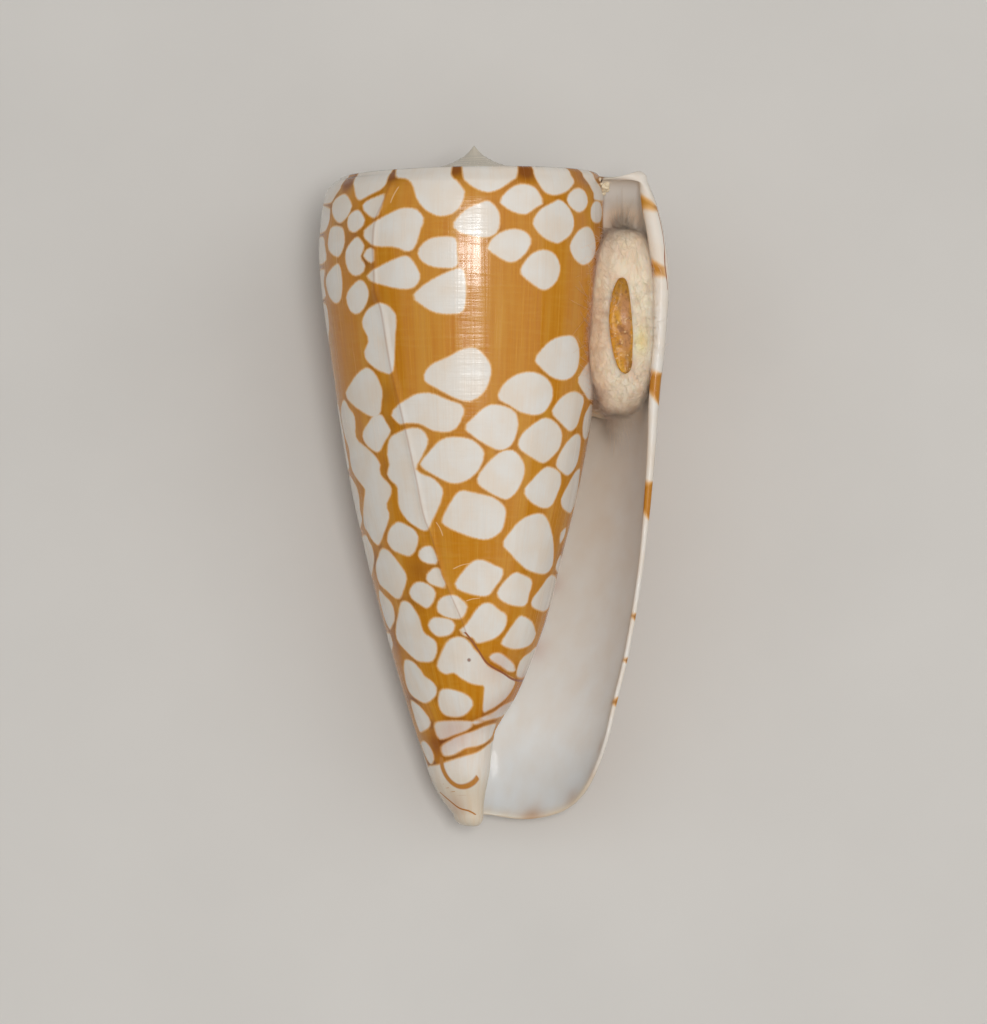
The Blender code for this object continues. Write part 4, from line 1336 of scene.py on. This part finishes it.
def paint_tint(piece, turn, climb):
    """A colour that darkens stains, paints shade on the hollow's ceiling and low in the hollow, and makes the
    hollow warmer and darker further in.
    """
    within = SHELL.insides
    deep = within * np.where(turn > 0, 1, fade(-turn, *DEEP_TURNS))
    deep = deep * fade(climb, *DEEP_LOW_CLIMBS) * fade(climb, *DEEP_HIGH_CLIMBS)
    tint = np.ones((len(turn), 4))
    for share, stain in ((spots(PLUM_SPOTS), TINT_PLUM), (spots(LIP_BLOTS), TINT_BLOT),
                         # painted shade on the hollow's ceiling
                         (spots(CEILING_SHADE_SPOTS), TINT_CEILING_SHADE),
                         (fade(climb, *CREAM_CLIMBS) * (1 - within), TINT_CREAM),
                         # painted shade low in the hollow
                         (fade(climb, *BASE_SHADE_CLIMBS) * within, TINT_BASE_SHADE), (deep, TINT_DEEP)):
        tint[:, :3] *= mix(1, np.array(stain), share[:, None])
    add_values(piece, "tint", tint, kind="FLOAT_COLOR")


def make_shell():
    """The shell, level with the floor where the solid's resting spot is flat."""
    seen = [Cell(seen_on_side(np.reshape(outline, (-1, 2)))) for outline in SEEN_CELLS] + lip_cells()
    layers = in_layers(seen + back_cells(seen))
    piece = new_mesh("cone_shell", SHELL.places, SHELL.faces)
    for vertex in piece.data.vertices:
        vertex.co.z = max(vertex.co.z, 0)
    turn, climb = SHELL.charts.T
    paint_pattern(piece, turn, climb, layers)
    paint_spire(piece, turn, climb)
    add_values(piece, "inside", SHELL.insides)
    add_values(piece, "fluff", spots(FLUFF_SPOTS))
    paint_lines(piece)
    paint_tint(piece, turn, climb)
    corners = np.pad(np.concatenate(SHELL.corner_charts), ((0, 0), (0, 1)))
    add_values(piece, "chart", corners, "CORNER", "FLOAT_VECTOR")
    dress(piece, shell_material(len(layers)), SHELL.places, "shell")


# The cotton wad. Its front curves back from the inner wall to the lip

COTTON_LOW, COTTON_HIGH = 28.8, 42.1
COTTON_DEPTH_ANGLE = 38 * DEG
COTTON_FRONT = ((0, -32 * DEG), (0.22, -19.5 * DEG), (0.5, -16.2 * DEG), (0.8, -13.6 * DEG), (1, -12.8 * DEG))
COTTON_SQUARENESS = 7
COTTON_ROUNDNESS = (2.7, 4.2)
COTTON_SINK, COTTON_LAP = 0.35, 0.12
COTTON_RINGS, COTTON_SIDES = 90, 120
COTTON_LUMPS = ((0.45, 0.10), (1.1, 0.02))
COTTON_SWELL, COTTON_SWELL_DEPTHS = (0.35, 1.0), (0.5, -1.5)
FIBRES, FRINGE_FIBRES = 1500, 4500
FIBRE_POINTS = 6
FIBRE_RADIUS, FIBRE_TAPER = 0.009, 0.6
FIBRE_LENGTHS, FIBRE_CURL = (0.5, 1.9), 1.4
LEAN_SPAN, AROUND_SPAN = 8.5, 18
ROOT_LIFT, END_LIFT, RIPPLE, RIPPLE_PACES = (0.0, 0.06), 0.05, 0.02, (4, 12)
FRINGE_LIFT = 0.5
# Where fibres start, as ranges of lean and around, and which way they stand out: all over the front,
# then the fringe at the top, the bottom, the left and the right
FIBRE_ZONES = np.array(((-0.95, 0.95, 0.61, 0.89), (0.76, 0.95, 0.61, 0.89), (-0.95, -0.76, 0.61, 0.89),
                        (-0.85, 0.85, 0.6, 0.65), (-0.85, 0.85, 0.85, 0.9)))
FIBRE_DRIFTS = np.array(((0, 0, 0), (0, -0.6, 1), (0, -0.6, -1), (-0.55, -1.1, 0), (0.25, -1.0, 0)))
FRINGE_SHARES = (0.24, 0.24, 0.32, 0.20)
# The grey is painted shade on the wad's top and on the fibres there
COTTON_CREAM, COTTON_PEACH, COTTON_SHADE_GREY = colour(250, 234, 210), colour(249, 202, 158), colour(224, 210, 190)
PEACH_SIDE, SHADED_TOP = (8.0, 9.9, 0.75, 0.0), (40.8, 43.0, 0.0, 0.8)
COTTON_CLOUDS, COTTON_TUFTS, COTTON_BUMP = (0.5, 3.0), (5.0, 6.0, 0.7), 0.015 * MM
GLUE_YELLOW, GLUE_STRENGTH = colour(250, 230, 168), 0.8
GLUE_STAIN, GLUE_REACH = (641, 341), (0.5, 1.5, 0.9)


def rounded_square(angle, power):
    """Points on a rounded square from -1 to 1 each way."""
    across, deep = np.cos(angle), np.sin(angle)
    reach = (np.abs(across) ** power + np.abs(deep) ** power) ** (-1 / power)
    return across * reach, deep * reach


def cotton_point(across, deep, height):
    """A point of the wad: across from inner to outer wall and in from the mouth, each -1 to 1."""
    across, deep = (across + 1) / 2, (deep + 1) / 2
    turn = mix(curve_at(COTTON_FRONT, across), COTTON_DEPTH_ANGLE, deep) - LIP_ANGLE
    inner = side_radius(turn + TURN, height) - mix(COTTON_LAP, COTTON_SINK, fade(deep, 0, 0.5))
    outer = side_radius(turn, height) - wall_thickness(turn, height) + COTTON_SINK
    return on_spiral(turn, mix(inner, outer, across), height)


def cotton_skin(lean, around):
    """The wad's skin: lean from its bottom, -1, to its top, 1, and around each section from 0 to 1."""
    size, share = rounded_square(lean * math.pi / 2, mix(*COTTON_ROUNDNESS, fade(lean, -0.5, 0.5)))
    across, deep = rounded_square(around * TURN, COTTON_SQUARENESS)
    return cotton_point(size * across, size * deep, mix(COTTON_LOW, COTTON_HIGH, (share + 1) / 2))


def lumps(places, bands):
    """Soft lumps: noise at each place, as the sum of bands of (cycles a mm, size)."""
    return np.array([sum(size * noise.noise(Vector(p) * pace) for pace, size in bands) for p in places])


def unit(vectors, least=1e-9):
    return vectors / np.maximum(np.linalg.norm(vectors, axis=-1, keepdims=True), least)


def cotton_outward(places):
    """Level directions out of the wad."""
    return unit((places - cotton_point(0.0, 0.0, places[..., 2])) * (1, 1, 0), 1e-6)


def cotton_mesh():
    """The wad, with soft lumps that are fullest at the mouth."""
    leans = np.linspace(-1, 1, COTTON_RINGS + 1)[1:-1, None]
    around = (np.arange(COTTON_SIDES) / COTTON_SIDES)[None]
    skin = cotton_skin(leans, around).reshape(-1, 3)
    swell = lumps(skin, COTTON_LUMPS) * mix(*COTTON_SWELL, fade(skin[:, 1], *COTTON_SWELL_DEPTHS))
    poles = [cotton_point(0.0, 0.0, height) for height in (COTTON_LOW, COTTON_HIGH)]
    places = np.concatenate((skin + cotton_outward(skin) * swell[:, None], poles))
    return places, ball_faces(0, COTTON_RINGS - 1, COTTON_SIDES)


def fibre_lines():
    """Fibres' points and the directions out of the wad there. They curl over the wad, lift at their
    ends, and in the fringe drift off it."""
    random = np.random.default_rng(FIBRE_SEED)
    steps = np.linspace(0, 1, FIBRE_POINTS)
    one_each = (FIBRES + FRINGE_FIBRES, 1)
    fringe = 1 + random.choice(len(FRINGE_SHARES), FRINGE_FIBRES, p=FRINGE_SHARES)
    zones = np.concatenate((np.zeros(FIBRES, int), fringe))
    low_lean, high_lean, low_around, high_around = FIBRE_ZONES[zones].T[..., None]
    lean = random.uniform(low_lean, high_lean)
    around = random.uniform(low_around, high_around)
    pace = random.uniform(*FIBRE_LENGTHS, one_each) / FIBRE_POINTS
    heading = random.uniform(0, TURN, one_each) + random.normal(0, FIBRE_CURL, one_each) * steps
    lean = lean + np.cumsum(np.sin(heading), 1) * pace / LEAN_SPAN
    around = around + np.cumsum(np.cos(heading), 1) * pace / AROUND_SPAN
    line = cotton_skin(np.clip(lean, -1, 1), around)
    out = cotton_outward(line)
    lift = random.uniform(*ROOT_LIFT, one_each) + random.exponential(END_LIFT, one_each) * steps**2
    lift = lift + RIPPLE * np.sin(steps * random.uniform(*RIPPLE_PACES, one_each))
    beyond = random.exponential(FRINGE_LIFT, one_each) * steps
    return line + out * lift[..., None] + beyond[..., None] * FIBRE_DRIFTS[zones][:, None], out


def fibre_mesh():
    """Loose fibres over the wad, each a thin three-sided tube."""
    line, out = fibre_lines()
    ahead = unit(np.gradient(line, axis=1))
    aside = unit(np.cross(ahead, out))
    up = np.cross(aside, ahead)
    taper = (1 - FIBRE_TAPER * np.abs(np.linspace(-1, 1, FIBRE_POINTS)) ** 3)[None, :, None]
    places = np.stack([line + taper * FIBRE_RADIUS * (math.cos(angle) * aside + math.sin(angle) * up)
                       for angle in (0, TURN / 3, 2 * TURN / 3)], axis=2)
    numbers = np.arange(places[..., 0].size).reshape(*line.shape[:2], 3)
    rolled = np.roll(numbers, -1, axis=2)
    quads = np.stack((numbers[:, :-1], rolled[:, :-1], rolled[:, 1:], numbers[:, 1:]), axis=-1).reshape(-1, 4)
    return places.reshape(-1, 3), quads.tolist() + numbers[:, 0, ::-1].tolist() + numbers[:, -1].tolist()


def cotton_material():
    n = Nodes("cotton")
    where = n.attribute("place", "Vector")
    x, _, z = n.apart(where)
    base = n.mix(n.spread(n.noise(where, *COTTON_CLOUDS), *EVENLY), COTTON_CREAM, COTTON_PINK)
    base = n.mix(n.spread(x, *PEACH_SIDE, True), base, COTTON_PEACH)
    # Painted shade: greyer towards the wad's top
    base = n.mix(n.spread(z, *SHADED_TOP, True), base, COTTON_SHADE_GREY)
    base = n.mix(n.times(n.attribute("glue"), GLUE_STRENGTH), base, GLUE_YELLOW)
    normal = n.bump(n.noise(where, *COTTON_TUFTS), COTTON_BUMP)
    return n.finish(Base_Color=base, Roughness=0.95, Normal=normal, Subsurface_Weight=0.8,
                    Subsurface_Radius=(1.0, 0.8, 0.6), Subsurface_Scale=1.2 * MM)


def make_cotton():
    stain = seen_at_depth((GLUE_STAIN,), OPERCULUM_DEPTH)[0]
    for name, (places, faces), node in (("cotton_wad", cotton_mesh(), "cotton_plug"),
                                        ("cotton_fibres", fibre_mesh(), None)):
        piece = new_mesh(name, places, faces)
        add_values(piece, "glue", np.exp(-(((places - stain) / GLUE_REACH) ** 2).sum(1)))
        dress(piece, cotton_material(), places, node)


# The operculum, a thin horny leaf on the cotton: its edges as (row, column) of the photo

OPERCULUM_LEFT = ((277.5, 622.5), (278.5, 619), (283, 616), (291.6, 612.6), (305, 610), (320, 609),
                  (335, 610), (354, 613.6), (365, 617), (371, 620.5), (374, 625))
OPERCULUM_RIGHT = ((277.5, 622.5), (278.5, 625), (282, 627), (290, 629), (302, 630.5), (318, 632),
                   (335, 633), (351, 632.6), (362, 632.4), (369, 631), (372.5, 628.5), (374, 625))
OPERCULUM_DEPTH = -3.2
OPERCULUM_THICKNESS = 0.42
OPERCULUM_LEAN = 9.7 * DEG
OPERCULUM_ROWS, OPERCULUM_COLUMNS = 90, 26
OPERCULUM_LUMPS = ((0.9, 0.05), (2.2, 0.05), (5.5, 0.03))
FULL_DOME_WIDTH = 12
RIDGE_SIZE, RIDGE_NARROWNESS, RIDGE_ROWS = 0.10, 2.2, 7.5
HORN_GOLD, HORN_AMBER, HORN_OLIVE = colour(218, 158, 42), colour(202, 130, 12), colour(166, 114, 20)
HORN_MAUVE, HORN_EDGE, HORN_DARK = colour(184, 126, 84), colour(196, 142, 46), colour(112, 66, 14)
# Painted glints: pale sparkle spots on the leaf's lower part
HORN_GLINT = colour(246, 216, 160)
# Its noises, and where its colours lie, by noise or by the share of the way along and across
HORN_PATCHES, HORN_GRAIN, GLINT_NOISE_SCALE = (1.1, 4.0, 0.6), (2.8, 4.0, 0.6), 4.0
HORN_WANDER = 1.6
OLIVE_WANDER, OLIVE_TOP = 0.15, (0.1, 0.34, 0.8, 0.0)
MAUVE_MIDDLE, MAUVE_ACROSS, MAUVE_ALONG = (0.3, 0.48), (0.2, 0.7, 1.0, 0.0), (0.2, 0.4, 0.8, 0.0)
DARK_ALONG, DARK_ACROSS, DARK_GRAIN = (0.72, 0.9), (-0.2, 0.5, 0.0, 0.6), (0.48, 0.66, 0.0, 0.6)
GLINT_SIZES, GLINT_ALONG = (0.62, 0.70, 0.0, 0.7), (0.3, 0.55)
HORN_RIM = (0.12, 0.5, 0.9, 0.0)
HORN_BUMP = 0.08 * MM


def operculum_mesh():
    """Both faces of the leaf over one grid, meeting along its edge, and what its material reads."""
    top, bottom = OPERCULUM_LEFT[0][0], OPERCULUM_LEFT[-1][0]
    down, across = (-np.cos(np.linspace(0, 1, count + 1) * math.pi)
                    for count in (OPERCULUM_ROWS, OPERCULUM_COLUMNS))
    rows, across = np.broadcast_arrays(mix(top, bottom, (down + 1) / 2)[1:-1, None], across)
    left, right = curve_at(OPERCULUM_LEFT, rows), curve_at(OPERCULUM_RIGHT, rows)
    pixels = np.stack((mix(left, right, (across + 1) / 2), rows), axis=-1)
    flat = seen_at_depth(pixels.reshape(-1, 2), OPERCULUM_DEPTH)
    flat[:, 1] += (flat[:, 0] - flat[:, 0].mean()) * math.tan(OPERCULUM_LEAN)
    dome = np.sqrt(np.maximum(1 - across**2, 0)) * np.minimum(1, (right - left) / FULL_DOME_WIDTH)
    ridge = RIDGE_SIZE * np.exp(-((across * RIDGE_NARROWNESS) ** 2)) * np.sin(rows / RIDGE_ROWS)
    rough = lumps(flat, OPERCULUM_LUMPS).reshape(rows.shape)
    flat = flat.reshape(*rows.shape, 3)
    front = flat - (dome * (OPERCULUM_THICKNESS / 2 + rough + ridge))[..., None] * (0, 1, 0)
    back = flat + (dome * OPERCULUM_THICKNESS / 2)[..., None] * (0, 1, 0)

    def both(front_values, back_values):
        """What a grid and the inner columns of another hold, vertex by vertex."""
        tail = front_values.shape[2:]
        return np.concatenate((front_values.reshape(-1, *tail), back_values[:, 1:-1].reshape(-1, *tail)))

    fronts = np.arange(rows.size).reshape(rows.shape)
    backs = fronts.copy()
    backs[:, 1:-1] = rows.size + np.arange(backs[:, 1:-1].size).reshape(len(backs), -1)
    faces = grid_faces(fronts).tolist() + grid_faces(backs)[:, ::-1].tolist()
    for row in (0, -1):
        faces.append(np.concatenate((fronts[row], backs[row, 1:-1][::-1])).tolist())
    values = {"rim": dome, "along": (rows - top) / (bottom - top), "across": across}
    return both(front, back), faces, {name: both(value, value) for name, value in values.items()}


def operculum_material():
    n = Nodes("operculum")
    where = n.attribute("place", "Vector")
    along, across = n.attribute("along"), n.attribute("across")
    patch, grain = n.noise(where, *HORN_PATCHES), n.noise(where, *HORN_GRAIN)
    wander = n.times(n.minus(patch, 0.5), HORN_WANDER)
    base = n.mix(n.spread(patch, *EVENLY), HORN_GOLD, HORN_AMBER)
    olive = n.spread(n.plus(along, n.times(wander, OLIVE_WANDER)), *OLIVE_TOP)
    base = n.mix(olive, base, HORN_OLIVE)
    middle_across, middle_along = MAUVE_MIDDLE
    band = n.spread(n.size(n.minus(n.plus(across, wander), middle_across)), *MAUVE_ACROSS, True)
    band = n.times(band, n.spread(n.size(n.minus(along, middle_along)), *MAUVE_ALONG, True))
    base = n.mix(band, base, HORN_MAUVE)
    low_right = n.times(n.spread(along, *DARK_ALONG), n.spread(across, *DARK_ACROSS))
    base = n.mix(low_right, base, HORN_DARK)
    base = n.mix(n.spread(grain, *DARK_GRAIN), base, HORN_DARK)
    # Painted glints: pale sparkle spots low on the leaf
    glint = n.times(n.spread(n.noise(where, GLINT_NOISE_SCALE), *GLINT_SIZES), n.spread(along, *GLINT_ALONG))
    base = n.mix(glint, base, HORN_GLINT)
    base = n.mix(n.spread(n.attribute("rim"), *HORN_RIM), base, HORN_EDGE)
    return n.finish(Base_Color=base, Roughness=0.33, Normal=n.bump(grain, HORN_BUMP), IOR=1.42,
                    Coat_Weight=0.1, Coat_Roughness=0.2)


def make_operculum():
    places, faces, values = operculum_mesh()
    piece = new_mesh("operculum_leaf", places, faces)
    for name, value in values.items():
        add_values(piece, name, value)
    dress(piece, operculum_material(), places, "operculum")


# Crumbs of dried glue at the suture: place in the photo and radius in mm

CRUMBS = (((600, 179.5), 0.15), ((605, 186), 0.32), ((607, 184), 0.22), ((603.5, 189), 0.24),
          ((603.5, 193), 0.18), ((607, 190), 0.18), ((601.5, 184), 0.12))
CRUMB_STEPS = 10
CRUMB_LUMPS = ((1.6, 0.3), (4.0, 0.12))
CRUMB_SHIFT = 9
CRUMB_CREAM = colour(232, 216, 190)
CRUMB_NOISE, CRUMB_GLUE, CRUMB_BUMP = (9.0, 3.0), (0.35, 0.65, 0.0, 0.25), 0.04 * MM


def crumb_mesh():
    """Small rough balls, each half sunk in the surface that it sticks to."""
    places, faces = np.empty((0, 3)), []
    polar = np.linspace(0, math.pi, CRUMB_STEPS + 1)[1:-1, None]
    around = np.arange(2 * CRUMB_STEPS) / (2 * CRUMB_STEPS) * TURN
    rings = on_spiral(around - LIP_ANGLE, np.sin(polar), np.cos(polar)).reshape(-1, 3)
    ball = np.concatenate((rings, ((0, 0, 1), (0, 0, -1))))
    for k, (pixel, radius) in enumerate(CRUMBS):
        hit = surface_point(pixel)
        if hit is not None:
            rough = 1 + lumps(ball + CRUMB_SHIFT * k, CRUMB_LUMPS)
            faces += ball_faces(len(places), CRUMB_STEPS - 1, 2 * CRUMB_STEPS)
            places = np.concatenate((places, hit + ball * radius * rough[:, None]))
    return places, faces


def crumb_material():
    n = Nodes("crumbs")
    grain = n.noise(n.attribute("place", "Vector"), *CRUMB_NOISE)
    base = n.mix(n.spread(grain, *CRUMB_GLUE), CRUMB_CREAM, GLUE_YELLOW)
    return n.finish(Base_Color=base, Roughness=0.5, Normal=n.bump(grain, CRUMB_BUMP))


def make_crumbs():
    places, faces = crumb_mesh()
    dress(new_mesh("glue_crumbs", places, faces), crumb_material(), places)


# Floor, light and camera

FLOOR_SIZE = 3.0
FLOOR_PALE, FLOOR_SPECKLE = colour(214, 210, 204), colour(210, 206, 200)
FLOOR_NOISE, FLOOR_SPREAD = (60.0, 4.0), (0.3, 0.7)
KEY_SIZE, KEY_DISTANCE, KEY_POWER = 0.15, 0.75, 2.1
KEY_SIDEWAYS, KEY_DOWN = 5 * DEG, -1.3 * DEG
FILLS = (((-0.38, -0.7, 0.1), 1.0, 1.7), ((0.48, -0.62, 0.05), 1.0, 2.35))
WORLD_LIGHT = 0.15
CLIP_START, CLIP_END = 0.01, 10


def floor_material():
    n = Nodes("floor")
    grain = n.noise(n.node("ShaderNodeTexCoord", {})["Object"], *FLOOR_NOISE)
    base = n.mix(n.spread(grain, *FLOOR_SPREAD), FLOOR_PALE, FLOOR_SPECKLE)
    return n.finish(Base_Color=base, Roughness=0.85)


def add_floor():
    half = FLOOR_SIZE / 2
    corners = [(-half, -half, 0), (half, -half, 0), (half, half, 0), (-half, half, 0)]
    data = bpy.data.meshes.new("floor")
    data.from_pydata(corners, [], [(0, 1, 2, 3)])
    data.materials.append(floor_material())
    linked("floor", data)


def add_softbox(name, place, size, power):
    """A square area light at a place in the shell's own frame, in metres from the target, aimed at it."""
    target = Vector(in_frame(TARGET))
    light = bpy.data.lights.new(name, "AREA")
    light.shape, light.size, light.energy = "SQUARE", size, power
    box = linked(name, light)
    box.location = target + REST @ Vector(place)
    box.rotation_euler = (target - box.location).to_track_quat("-Z", "Y").to_euler()


def add_lights():
    key = (math.sin(KEY_SIDEWAYS) * KEY_DISTANCE, -KEY_DISTANCE, -math.sin(KEY_DOWN) * KEY_DISTANCE)
    add_softbox("key", key, KEY_SIZE, KEY_POWER)
    for k, fill in enumerate(FILLS):
        add_softbox(f"fill_{k}", *fill)
    world = bpy.data.worlds.new("studio")
    world.use_nodes = True
    background = world.node_tree.nodes["Background"]
    background.inputs["Color"].default_value = (1, 1, 1, 1)
    background.inputs["Strength"].default_value = WORLD_LIGHT
    bpy.context.scene.world = world


def add_camera():
    data = bpy.data.cameras.new("camera")
    data.sensor_width = SENSOR
    data.lens = SENSOR * CAMERA_DISTANCE / (PHOTO_HEIGHT * PIXEL)
    data.clip_start, data.clip_end = CLIP_START, CLIP_END
    camera = linked("camera", data)
    axes = Matrix((Vector((1, 0, 0)), Vector(UPWARD), Vector(-FORWARD))).transposed()
    camera.matrix_world = Matrix.Translation(Vector(in_frame(EYE))) @ (REST @ axes).to_4x4()
    bpy.context.scene.camera = camera


make_shell()
make_cotton()
make_operculum()
make_crumbs()
add_floor()
add_lights()
add_camera()
bpy.context.scene.view_settings.view_transform = "Standard"
